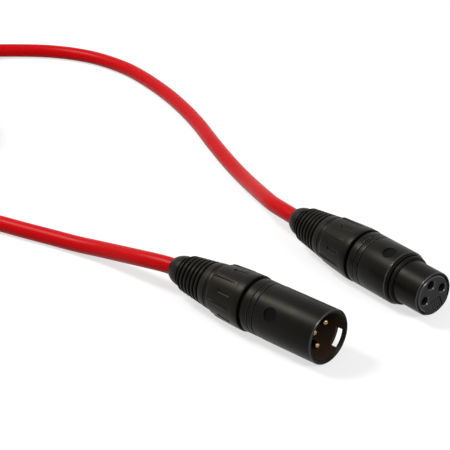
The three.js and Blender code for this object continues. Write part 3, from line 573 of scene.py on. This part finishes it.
# latch, die-cast and coated as the shell but rougher, from handling
latch_coat = moulded(
    "matt_black_coated_latch", "#232324", "#2d2d2e", 0.25, 0.008, (0.46, 0.58), Specular_IOR_Level=0.15,
)
# hard gold over nickel, turned and plated, with small, sharp glints: its colour is gold darkened to a deep
# brownish yellow by painted shade, for the dim surroundings it mirrors
gold_darkened_painted_shade = moulded(
    "brass_gold_painted_shade", "#7c6645", "#907854", 0.2, 0.001, (0.08, 0.14), Metallic=1.0,
)
# cold-rolled spring steel, bare: pale grey with a soft metal shine
spring_steel = moulded(
    "bare_spring_steel", "#a9acb0", "#b9bcc0", 0.2, 0.003, (0.28, 0.38), Metallic=1.0,
)
# unfilled nylon: milky white, waxy
chuck_nylon = moulded(
    "natural_white_nylon", "#dcdad0", "#e6e4dc", 0.3, 0.006, (0.42, 0.52), Subsurface_Weight=0.1,
    Subsurface_Scale=0.002,
)
# soft PVC drawn over the cores: plain clear colours with a slight gloss
white_insulation = moulded("white_core_insulation", "#dedcd6", "#eae8e2", 0.2, 0.004, (0.4, 0.5))
blue_insulation = moulded("blue_core_insulation", "#1f3f92", "#2a4eaa", 0.2, 0.004, (0.4, 0.5))
# bare copper wires twisted together: warm metal with a coarse strand texture
copper_screen = moulded("twisted_copper_screen", "#a8603e", "#c07a56", 0.45, 0.12, (0.3, 0.42), Metallic=1.0)


# ---------------------------------------------------------------- the tail of both connectors

# radii, and places from the shell's rear edge
NEST_GAP = 0.3  # between pieces that nest in each other
REAR_BORE = 8.5
NESTED = REAR_BORE - NEST_GAP
SPIGOT_BORE = 7.2
RING_FRONT, RING_BACK = -1.35, -4.4
GRIP_START, GRIP_END = 9.85, 8.35
GRIP_LENGTH = 13.35
RIDGE_SHORT = 1.3  # the ridges stop this far before the grip's end
FACET_FALL, RIDGE_FALL = 1.2, 0.665  # loss of radius over the grip's length
RIB_HEIGHT, RIB_HALF_WIDTH = 0.14, 0.6
DIMPLE_LENGTH, DIMPLE_DEPTH = 4.4, 0.32
MALE_GRIP, FEMALE_GRIP = 32, 33.4  # degrees from the key to a ridge
BOOT_SEAT = 6.3  # the bushing's bore round the boot's sleeve
WEB = -9.3  # the web between that bore and the bushing's cone
BOOT_BORE = RADIUS / MM + NEST_GAP
BOOT_BAND = 3
BOOT_TAPER = 0.128
RIBS = 6
RIB_PITCH, RIB_DEPTH = 1.93, 1.1
BOOT_DIP = 14.04  # from the band's front to the narrow dip behind the ribs
COLLAR_RADIUS, COLLAR_LENGTH = 5.5, 5


def grip_rise(x, ring_back, ridge_end, turn, phase):
    """Radius of the grip at x and turn. A facet sinks as the 1.15th power of the way back. Of the
    ridge's height, 0.35 is a bulge 1 / cos towards the ridges and the rest a flat-topped rib that
    stands a little higher along its middle. Each facet has a dimple, whose depth falls off with
    the distance from a line along it. Behind the ridges' end all of it drops to the grip's end."""
    share = (ring_back - x[:, None]) / GRIP_LENGTH
    facet = GRIP_START - FACET_FALL * np.clip(share, 0, 1) ** 1.15
    ridge = GRIP_START - RIDGE_FALL * share - facet
    from_middle = (turn - phase) % (math.pi / 3) - math.pi / 6
    bulge = (1 / np.cos(from_middle) - 1) / (1 / math.cos(math.pi / 6) - 1)
    rib = np.exp(-((math.pi / 6 - np.abs(from_middle)) * facet / RIB_HALF_WIDTH) ** 6)
    bead = smooth_step(x, ridge_end + 0.8, ridge_end + 2.4)
    bead = (bead * (1 - smooth_step(x, ring_back - 3, ring_back - 0.5)))[:, None]
    past_line = np.maximum(np.abs(x - ring_back + 3.9) - DIMPLE_LENGTH / 2, 0)[:, None]
    dimple = 1 - smooth_step(np.hypot(past_line, from_middle * facet), 0.55, 0.95)
    body = facet + ridge * (0.35 * bulge + 0.65 * rib) + RIB_HEIGHT * bead * rib - DIMPLE_DEPTH * dimple
    return GRIP_END + (body - GRIP_END) * smooth_step(x, ridge_end - 0.2, ridge_end + 0.9)[:, None]


def ridge_turns(phase):
    """Angles round the grip, 30 (1.5 t - 0.5 t^3) degrees either side of each facet's middle, so
    that they crowd towards the ridges."""
    t = np.linspace(-1, 1, 64, endpoint=False)
    facet = math.pi / 6 * (1.5 * t - 0.5 * t ** 3)
    return (phase + math.pi / 6 + facet[None, :] + np.arange(6)[:, None] * math.pi / 3).ravel()


def bushing(rear, phase):
    """The sleeve's profile goes round the axis; its outside between ring and boot is the grip."""
    ring_front, ring_back = rear + RING_FRONT, rear + RING_BACK
    end = ring_back - GRIP_LENGTH
    ridge_end = end + RIDGE_SHORT
    turn = ridge_turns(phase)
    front = softened([
        (rear + 6.7, SPIGOT_BORE), (rear + 6.7, NESTED), (ring_front, NESTED), (ring_front, RING_RADIUS),
        (ring_back, RING_RADIUS - 0.02),
    ], 0.3, closed=False)
    back = softened([
        (end, GRIP_END), (end, BOOT_SEAT), (rear + WEB, BOOT_SEAT), (rear + WEB, 5.51),
        (rear + WEB + 0.9, 5.51), (rear - 1.9, SPIGOT_BORE),
    ], 0.15, closed=False)
    stations = np.unique(np.concatenate([
        np.linspace(ring_back - 0.2, end + 0.25, 80), np.linspace(ridge_end - 0.22, ridge_end + 0.92, 9),
    ]))[::-1]
    grip = grip_rise(stations, ring_back, ridge_end, turn, phase)
    radius = np.vstack([np.repeat(front[:, 1:], len(turn), 1), grip, np.repeat(back[:, 1:], len(turn), 1)])
    x = np.concatenate([front[:, 0], stations, back[:, 0]])
    rings = np.stack([np.repeat(x[:, None], len(turn), 1), radius * np.sin(turn), radius * np.cos(turn)], -1)
    return skin("bushing", rings, closed=True)


def boot(rear):
    """The bend relief's profile round the axis: a band, six ribs on a falling cone, a dip and a
    collar that rounds off as the 2.2nd power of the way to the cable."""
    front = rear + RING_BACK - GRIP_LENGTH - NEST_GAP
    dip_front = front - BOOT_DIP
    collar_front = dip_front - 1.8
    groove = front - BOOT_BAND - RIB_PITCH * np.arange(RIBS)[:, None] + np.array([0, -0.25, -0.75, -1.0])
    radius = GRIP_END - (front - groove) * BOOT_TAPER - np.array([0, RIB_DEPTH, RIB_DEPTH, 0])
    ribs = np.stack([groove.ravel(), radius.ravel()], -1).tolist()
    dip = [
        (dip_front, GRIP_END - BOOT_DIP * BOOT_TAPER), (dip_front - 0.3, 5.0), (dip_front - 1.6, 5.0),
        (collar_front, COLLAR_RADIUS),
    ]
    sleeve, sleeve_front = BOOT_SEAT - NEST_GAP, rear + WEB - NEST_GAP
    band = [(sleeve_front, BOOT_BORE), (sleeve_front, sleeve), (front, sleeve), (front, GRIP_END)]
    share = np.linspace(0.15, 1, 10)
    collar = np.stack([collar_front - COLLAR_LENGTH * share, COLLAR_RADIUS - 1.5 * share ** 2.2], -1)
    outer = softened(band + ribs + dip, 0.34, closed=False)
    profile = np.vstack([outer, collar, [(rear - TAIL, BOOT_BORE)]])
    return skin("boot", lathe(profile), closed=True)


def add_tail(holder, name, rear, phase):
    """Bushing and boot, and the jacket's last length inside the connector."""
    sleeve = bushing(rear, phase)
    settle(sleeve, f"bushing_{name}", holder, grip_nylon, [f"{name}_bushing"], corner=40)
    settle(boot(rear), f"boot_{name}", holder, boot_rubber, [f"{name}_boot"])
    inner = rod(rear - TAIL + HIDDEN / MM, rear + 0.9, RADIUS / MM)
    settle(inner, f"jacket_end_{name}", holder, jacket, [])


# ---------------------------------------------------------------- contacts

CONTACT_CIRCLE = 4.05  # the contacts stand on a circle of this radius
CONTACTS = [(CONTACT_CIRCLE, 0.0), (-CONTACT_CIRCLE, 0.0), (0.0, -CONTACT_CIRCLE)]  # to the side and key
PIN_RADIUS = 1.19
PIN_TIP = -2.5
SOCKET_INSIDE, SOCKET_OUTSIDE = 1.25, 1.65
SOCKET_MOUTH, SOCKET_END = -2.4, -14.2  # of its bore
CUP_RADIUS, CUP_BORE = 1.45, 1.0  # solder cups
CUP_FRONT = 10.4  # they start this far ahead of the shell's rear edge
INSERT_END = CUP_FRONT + NEST_GAP


def turned_contact(profile, place):
    """A contact's profile round its own axis."""
    return skin("contact", lathe(profile, 64) + np.array([0.0, *place]))


def solder_cup(front):
    """The rear end of a contact, 4 mm long, with a cup that opens backwards."""
    end = front - 4
    return [(front, CUP_RADIUS), (end, CUP_RADIUS), (end, CUP_BORE), (front - 1.4, CUP_BORE)]


def male_pin(place, rear):
    """A round tip, then a straight pin."""
    angle = np.radians(np.linspace(4, 90, 12))
    dome = np.stack([PIN_TIP - PIN_RADIUS * (1 - np.cos(angle)), PIN_RADIUS * np.sin(angle)], -1)
    cup = rear + CUP_FRONT
    return turned_contact(np.vstack([dome, [(cup, PIN_RADIUS)], solder_cup(cup)]), place)


def socket(place, rear):
    """A tube with a rounded mouth and a closed bore."""
    cup = rear + CUP_FRONT
    tube_wall = softened([
        (SOCKET_END, SOCKET_INSIDE), (SOCKET_MOUTH, SOCKET_INSIDE), (SOCKET_MOUTH, SOCKET_OUTSIDE),
        (cup, SOCKET_OUTSIDE),
    ], 0.15, closed=False)
    return turned_contact(np.vstack([tube_wall, solder_cup(cup)]), place)


# ---------------------------------------------------------------- what both shells have

RECESS_RADIUS, RECESS_DEPTH = 2.5, 0.5
INLAY_RADIUS = 2.4


def shell_rear(rear, radius, grooves):
    """The profile round a shell's rear end: ring grooves 0.5 mm wide and 0.35 mm deep, each at its
    distance from the rear edge, then the chamfered end, 0.3 mm behind that edge, and the bore."""
    middle = rear + np.array(grooves)[:, None]
    x = middle + np.array([0.25, 0.15, -0.15, -0.25])
    depth = np.broadcast_to([0, 0.35, 0.35, 0], x.shape)
    edge = [(rear + 0.1, radius), (rear - 0.3, radius - 0.4), (rear - 0.3, REAR_BORE)]
    return np.stack([x.ravel(), radius - depth.ravel()], -1).tolist() + edge


def rub_grooves(shell, holder, rear, radius, grooves):
    """Rubs the rear edges of a shell's ring grooves bright."""
    for groove in grooves:
        edge = rear + groove - 0.3
        recoat(shell, holder, rubbed_edge, edge - 0.08, edge + 0.08, radius - 0.1, radius + 0.1)


def round_plug(middle, low, high, radius, dish=0.0):
    """A short rod square to the shell's surface, opposite the key, from one height over the axis
    to another. It cuts a round recess, or fills it as a plain inlay whose top sinks by
    dish (1 - s^2) at the share s of the radius."""
    share = np.linspace(1, 0.05, 10)
    top = np.stack([high - dish * (1 - share ** 2), radius * share], -1)
    height, side, key = np.moveaxis(lathe(np.vstack([[(low, radius)], top]), 64), -1, 0)
    return skin("tool", np.stack([side + middle, -key, -height], -1))


def cut_recess(piece, middle, surface):
    """Cuts the round recess into a shell whose surface has the given radius."""
    carve(piece, round_plug(middle, surface - RECESS_DEPTH, surface + 1, RECESS_RADIUS))


def add_inlay(name, holder, middle, surface):
    """The plain, slightly dished inlay that lies in the recess, below the shell's surface."""
    floor = surface - RECESS_DEPTH
    piece = round_plug(middle, floor + 0.02, floor + 0.15, INLAY_RADIUS, 0.1)
    settle(piece, name, holder, inlay_plastic, [])


# ---------------------------------------------------------------- male connector

SHELL_RADIUS = 9.55
MALE_RELIEF = SHELL_RADIUS - 0.08  # of the slightly slimmer rear zone
MOUTH_RADIUS = 8.1
MOUTH_DEPTH = 12.5  # from the rim to the insert
MALE_STEP = -14.2  # the mouth's bore widens to the rear bore here
MALE_GROOVES = (5.2, 3.0)
MALE_RECESS = -18.1
WINDOW_REAR, WINDOW_FRONT, WINDOW_WIDTH = -3.95, -1.2, 6.3


def male_shell():
    """The housing's wall round the axis, with the latch window and the recess cut out of it."""
    wall = softened([
        (0, 8.8), (0, 9.25), (-0.3, SHELL_RADIUS), (-22.5, SHELL_RADIUS), (-22.58, MALE_RELIEF),
        *shell_rear(MALE_REAR, MALE_RELIEF, MALE_GROOVES),
        (MALE_STEP, REAR_BORE), (MALE_STEP, MOUTH_RADIUS), (-0.7, MOUTH_RADIUS),
    ], 0.07)
    piece = skin("male_shell_wall", lathe(wall, 256), closed=True)
    carve(piece, block(WINDOW_REAR, WINDOW_FRONT, 0, 12, WINDOW_WIDTH))
    cut_recess(piece, MALE_RECESS, SHELL_RADIUS)
    return piece


def male_insert():
    """The insulator: a disc, a wider flange and a rear part, with a hole round each pin."""
    disc, flange = MOUTH_RADIUS - NEST_GAP, MALE_STEP - NEST_GAP
    end = MALE_REAR + INSERT_END
    profile = [
        (-MOUTH_DEPTH, disc), (flange, disc), (flange, NESTED), (flange - 3, NESTED), (flange - 3, 7.0),
        (end, 7.0),
    ]
    piece = skin("insert", lathe(softened(profile, 0.2, closed=False), 128))
    for place in CONTACTS:
        carve(piece, rod(end - 1.3, -MOUTH_DEPTH + 1.5, PIN_RADIUS + NEST_GAP, place))
    return piece


shell = settle(male_shell(), "shell_male", MALE, shell_coat, ["male_shell"])
recoat(shell, MALE, rubbed_edge, -0.34, 0.1, 9.23, 9.6)  # the rim's outer edge
rub_grooves(shell, MALE, MALE_REAR, MALE_RELIEF, MALE_GROOVES)
# painted light: the mouth's bore is painted warm brown for the gold's light in its shade
recoat(shell, MALE, bore_painted_gold_light, MALE_STEP + 0.1, -0.75, MOUTH_RADIUS - 0.1, MOUTH_RADIUS + 0.2)
add_inlay("inlay_male", MALE, MALE_RECESS, SHELL_RADIUS)
# painted light: the male insert is painted brownish for the gold's light
settle(male_insert(), "insert_male", MALE, insert_painted_gold_light, ["male_insert"])
# the pins' gold is darkened with painted shade
for number, place in enumerate(CONTACTS, 1):
    settle(male_pin(place, MALE_REAR), f"pin_{number}", MALE, gold_darkened_painted_shade, [f"male_pin_{number}"])
add_tail(MALE, "male", MALE_REAR, math.radians(MALE_GRIP))


# ---------------------------------------------------------------- female connector

FEMALE_RADIUS = 9.7
NOSE_RADIUS, NOSE_BORE = 7.85, 7.1
NOSE_LENGTH = 11.3
NOSE_SLOT = 10.8  # opening of the nose on the key side
FLANGE_RADIUS, NECK_RADIUS = 8.85, 8.3
FEMALE_STEP = -13.9  # the nose's bore widens to the rear bore here
FEMALE_GROOVES = (5.3, 2.9)
FEMALE_RECESS = -18.7
FACE = 0.3  # the insert stands out of the nose by this
HOLE, HOLE_MOUTH = 1.5, 1.85  # contact holes in the face

CHANNEL_FLOOR = 2.3
LEVER_WIDTH, CHANNEL_WIDTH = 4.6, 4.8
TAB_WIDTH, TAB_SLOT, TAB_POCKET = 6.4, 7.0, 7.2
TAB_FRONT, TAB_REAR = -15.4, -20.6
TAB_RIDGES = 3
STOP_REAR = TAB_REAR - 1.2  # the lip behind the tab that stays under the shell
FULCRUM_BOTTOM = 3.0
TONGUE_BOTTOM, TONGUE_TOP = 5, 6.4
LEVER_RADIUS = 7.7  # of its round front, a little inside the nose
HOOK_RADIUS = 8.6
TAB_RADIUS = 9.5
FINE_GROOVES = (-1.44, -0.48, 0.48, 1.44)  # places across of the upright grooves in the lever's front
PIVOT_X, PIVOT_HEIGHT = -1.8, 4.3
PIVOT_RADIUS, PIVOT_REACH = 0.7, 3.0


def female_shell():
    """The housing round the axis: nose, thin ring, neck and shoulder, with the nose cut open on
    the key side and a slot for the latch's tab."""
    wall = softened([
        (0, NOSE_BORE), (0, NOSE_RADIUS - 0.25), (-0.25, NOSE_RADIUS), (-NOSE_LENGTH, NOSE_RADIUS),
        (-NOSE_LENGTH, FLANGE_RADIUS - 0.5), (-NOSE_LENGTH - 0.5, FLANGE_RADIUS), (-12.3, FLANGE_RADIUS),
        (-12.3, NECK_RADIUS), (-13.1, NECK_RADIUS), (-13.1, 8.95), (-14.05, 9.45), (-14.3, FEMALE_RADIUS),
        *shell_rear(FEMALE_REAR, FEMALE_RADIUS, FEMALE_GROOVES),
        (FEMALE_STEP, REAR_BORE), (FEMALE_STEP, NOSE_BORE),
    ], 0.07)
    piece = skin("female_shell_wall", lathe(wall, 256), closed=True)
    carve(piece, block(-NOSE_LENGTH, 1, 0, 9, NOSE_SLOT))
    carve(piece, block(TAB_REAR - 0.7, TAB_FRONT + NEST_GAP, 0, 11, TAB_SLOT))
    cut_recess(piece, FEMALE_RECESS, FEMALE_RADIUS)
    return piece


def female_insert():
    """The insulator: a round body and the land that fills the nose's opening, with countersunk
    contact holes, the latch's channel and the pocket of its pivot."""
    body_radius, flange = NOSE_BORE - NEST_GAP, FEMALE_STEP - NEST_GAP
    body = skin("insert", lathe(softened([
        (FACE, body_radius - 0.45), (-0.15, body_radius), (flange, body_radius), (flange, NESTED),
        (FEMALE_REAR + INSERT_END, NESTED),
    ], 0.1, closed=False), 192))
    land = skin("land", lathe(softened([
        (FACE, LEVER_RADIUS - 0.4), (-0.1, LEVER_RADIUS), (-NOSE_LENGTH + NEST_GAP, LEVER_RADIUS),
    ], 0.1, closed=False), 192))
    carve(land, block(-12, 1, 0, 9, NOSE_SLOT - 2 * NEST_GAP), "INTERSECT")
    carve(body, land, "UNION")
    for place in CONTACTS:
        bore = SOCKET_OUTSIDE + NEST_GAP
        hole = [(1.0, HOLE_MOUTH), (FACE, HOLE_MOUTH), (-0.05, HOLE), (-1.5, HOLE), (-1.5, bore), (-24, bore)]
        carve(body, skin("tool", lathe(hole, 64) + np.array([0.0, *place])))
    carve(body, block(-24, 1, CHANNEL_FLOOR, 10, CHANNEL_WIDTH))
    carve(body, block(-24, TAB_FRONT + NEST_GAP, CHANNEL_FLOOR, 10, TAB_POCKET))
    carve(body, trunnion(NEST_GAP))
    return body


def trunnion(clear):
    """A short rod across the channel at the latch's pivot, larger all round by what is clear."""
    reach, radius = PIVOT_REACH + clear, PIVOT_RADIUS + clear
    turn = np.arange(32) * 2 * np.pi / 32
    x, key = PIVOT_X + radius * np.sin(turn), PIVOT_HEIGHT + radius * np.cos(turn)
    return skin("tool", np.stack([np.stack([x, np.full(32, side), key], -1) for side in (-reach, reach)]))


def latch_lever():
    """Side views of tongue and tab drawn out across, kept inside the round envelope of nose, hook
    and shell, with grooves across the thumb tab, fine upright ones in the front face and a
    bore at the pivot."""
    lever = slab([
        (-0.1, FULCRUM_BOTTOM), (-0.1, 10.5), (-10, 10.5), (-10, TONGUE_TOP), (STOP_REAR, TONGUE_TOP),
        (STOP_REAR, TONGUE_BOTTOM), (-5.3, TONGUE_BOTTOM), (-4.9, FULCRUM_BOTTOM),
    ], LEVER_WIDTH)
    tab = slab([
        (TAB_FRONT, TONGUE_BOTTOM), (TAB_FRONT, 10.5), (TAB_REAR, 10.5), (TAB_REAR, 7.3), (STOP_REAR, 7.3),
        (STOP_REAR, TONGUE_BOTTOM),
    ], TAB_WIDTH)
    carve(lever, tab, "UNION")
    envelope = skin("tool", lathe(softened([
        (1, LEVER_RADIUS), (-6.4, LEVER_RADIUS), (-8, HOOK_RADIUS), (-11, HOOK_RADIUS), (-11, TAB_RADIUS),
        (STOP_REAR - 1, TAB_RADIUS),
    ], 0.2, closed=False), 192))
    carve(lever, envelope, "INTERSECT")
    for number in range(TAB_RIDGES):
        front = TAB_FRONT + (TAB_REAR - TAB_FRONT) * (number + 0.75) / (TAB_RIDGES + 0.5)
        carve(lever, block(front - 0.5, front, TAB_RADIUS - 0.35, 11, TAB_WIDTH + 1))
    for beside in FINE_GROOVES:
        upright = block(-0.35, 1, 3.4, 7.0, 0.3)
        upright.data.transform(Matrix.Translation((0.0, beside, 0.0)))
        carve(lever, upright)
    carve(lever, trunnion(0))
    return lever


SPRING_REAR, SPRING_FRONT = -20.2, -16
SPRING_WIDTH, SPRING_THICKNESS = 3, 0.35
SPRING_FOOT = CHANNEL_FLOOR + NEST_GAP  # underside of the leaf's foot
SPRING_RISE = 1.75
SPRING_FLAT = 0.7  # level length at each end


def leaf_spring():
    """A strip whose height goes from the channel's floor to the tab in a smooth S."""
    x = np.linspace(SPRING_REAR, SPRING_FRONT, 40)
    climb = smooth_step(x, SPRING_REAR + SPRING_FLAT, SPRING_FRONT - SPRING_FLAT)
    z = SPRING_FOOT + SPRING_THICKNESS / 2 + SPRING_RISE * climb
    section = softened(SQUARE / 2 * (SPRING_WIDTH, SPRING_THICKNESS), 0.1)
    rings = np.stack([
        np.repeat(x[:, None], len(section), 1), np.repeat(section[None, :, 0], len(x), 0),
        z[:, None] + section[None, :, 1],
    ], -1)
    return skin("spring", rings)


shell = settle(female_shell(), "shell_female", FEMALE, shell_coat, ["female_shell"])
recoat(shell, FEMALE, rubbed_edge, -0.4, 0.1, 7.5, 7.9)  # the nose's rim
recoat(shell, FEMALE, rubbed_edge, -14.45, -13.98, 9.38, 9.75)  # the shoulder's edge
rub_grooves(shell, FEMALE, FEMALE_REAR, FEMALE_RADIUS, FEMALE_GROOVES)
add_inlay("inlay_female", FEMALE, FEMALE_RECESS, FEMALE_RADIUS)
insert = settle(female_insert(), "insert_female", FEMALE, insert_plastic, ["female_insert"])
recoat(insert, FEMALE, rubbed_plastic, -0.08, 0.28, 2.0, 7.0)  # bevels and countersinks
# the sockets' gold is darkened with painted shade
for number, place in enumerate(CONTACTS, 1):
    contact = socket(place, FEMALE_REAR)
    settle(contact, f"socket_{number}", FEMALE, gold_darkened_painted_shade, [f"female_socket_{number}"])
settle(latch_lever(), "latch_lever", FEMALE, latch_coat, ["latch"], body="latch")
spring = settle(leaf_spring(), "leaf_spring", FEMALE, spring_steel, ["latch_spring"])
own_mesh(spring)
add_tail(FEMALE, "female", FEMALE_REAR, math.radians(FEMALE_GRIP))


# ---------------------------------------------------------------- the solids that stay

for side in ("male", "female"):
    stays = {
        f"{side}_chuck": chuck_nylon, f"{side}_lead_1": white_insulation,
        f"{side}_lead_2": blue_insulation, f"{side}_lead_3": copper_screen,
    }
    for node, finish in stays.items():
        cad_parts[node].data.materials.clear()
        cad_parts[node].data.materials.append(finish)


# ---------------------------------------------------------------- floor, lights and backdrop

def seen_directly(tree):
    """1 for rays from the camera, off gloss or through glass, 0 for the rays that light things."""
    path = add(tree, "ShaderNodeLightPath")
    gloss = add(tree, "ShaderNodeMath", {
        0: path.outputs["Is Glossy Ray"], 1: path.outputs["Is Transmission Ray"],
    }, operation="MAXIMUM")
    return add(tree, "ShaderNodeMath", {
        0: path.outputs["Is Camera Ray"], 1: gloss.outputs[0],
    }, operation="MAXIMUM").outputs[0]


def paper_finish():
    """Pale seamless paper: matt, with a faint tooth; the camera sees it brighter than the object
    does, more so from 0.5 m to 1.6 m away, where the lamps fade, so that it comes out white, keeps
    a soft shadow and throws little light from below."""
    finish, tree = new_tree("white_seamless_paper")
    place = add(tree, "ShaderNodeTexCoord").outputs["Object"]
    tooth = add(tree, "ShaderNodeTexNoise", {"Vector": place, "Scale": 1 / (1.5 * MM), "Detail": 3.0})
    bump = add(tree, "ShaderNodeBump", {"Height": tooth.outputs["Fac"], "Distance": 0.02 * MM})
    away = add(tree, "ShaderNodeVectorMath", {0: place}, operation="LENGTH")
    level = add(tree, "ShaderNodeMapRange", {
        "Value": away.outputs["Value"], "From Min": 0.5, "From Max": 1.6, "To Min": 0.66, "To Max": 1.0,
    }, interpolation_type="SMOOTHSTEP")
    glow = add(tree, "ShaderNodeMath", {0: seen_directly(tree), 1: level.outputs[0]}, operation="MULTIPLY")
    surface = add(tree, "ShaderNodeBsdfPrincipled", {
        "Base Color": linear("#a8a8a8"), "Roughness": 0.95, "Specular IOR Level": 0.0,
        "Emission Color": linear("#ffffff"), "Emission Strength": glow.outputs[0], "Normal": bump.outputs[0],
    })
    add(tree, "ShaderNodeOutputMaterial", {"Surface": surface.outputs[0]})
    return finish


FLOOR_HALF = 3


def paper_floor():
    """A level square 6 m wide at the table's height."""
    mesh = bpy.data.meshes.new("floor")
    corners = [(x * FLOOR_HALF, y * FLOOR_HALF, 0) for x, y in SQUARE.tolist()]
    mesh.from_pydata(corners, [], [(0, 1, 2, 3)])
    mesh.materials.append(paper_finish())
    floor = bpy.data.objects.new("floor", mesh)
    bpy.context.scene.collection.objects.link(floor)


def lamp(name, place, width, height, roll, power):
    """A soft box in metres and watts that looks at the connectors, rolled by degrees about the
    way it looks."""
    light = bpy.data.lights.new(name, "AREA")
    light.shape, light.size, light.size_y = "RECTANGLE", width, height
    light.energy = power
    box = bpy.data.objects.new(name, light)
    aim(box, place, (0.0, 0.0, 0.01))
    rolled = box.rotation_euler.to_quaternion() @ Quaternion((0, 0, 1), math.radians(roll))
    box.rotation_euler = rolled.to_euler()


def white_room():
    """White where the camera, gloss or glass shows it; it lights the object at 0.3 of that."""
    world = bpy.data.worlds.new("white_room")
    world.use_nodes = True
    tree = world.node_tree
    tree.nodes.clear()
    level = add(tree, "ShaderNodeMapRange", {"Value": seen_directly(tree), "To Min": 0.3})
    room = add(tree, "ShaderNodeBackground", {"Color": linear("#ffffff"), "Strength": level.outputs[0]})
    add(tree, "ShaderNodeOutputWorld", {"Surface": room.outputs[0]})
    bpy.context.scene.world = world


paper_floor()
lamp("key", (-0.62, -0.32, 0.84), 0.3, 0.3, 0, 8.5)
lamp("front", (0.73, -0.02, 0.43), 0.95, 0.1, -25, 4.5)
white_room()
bpy.context.scene.view_settings.view_transform = "Standard"
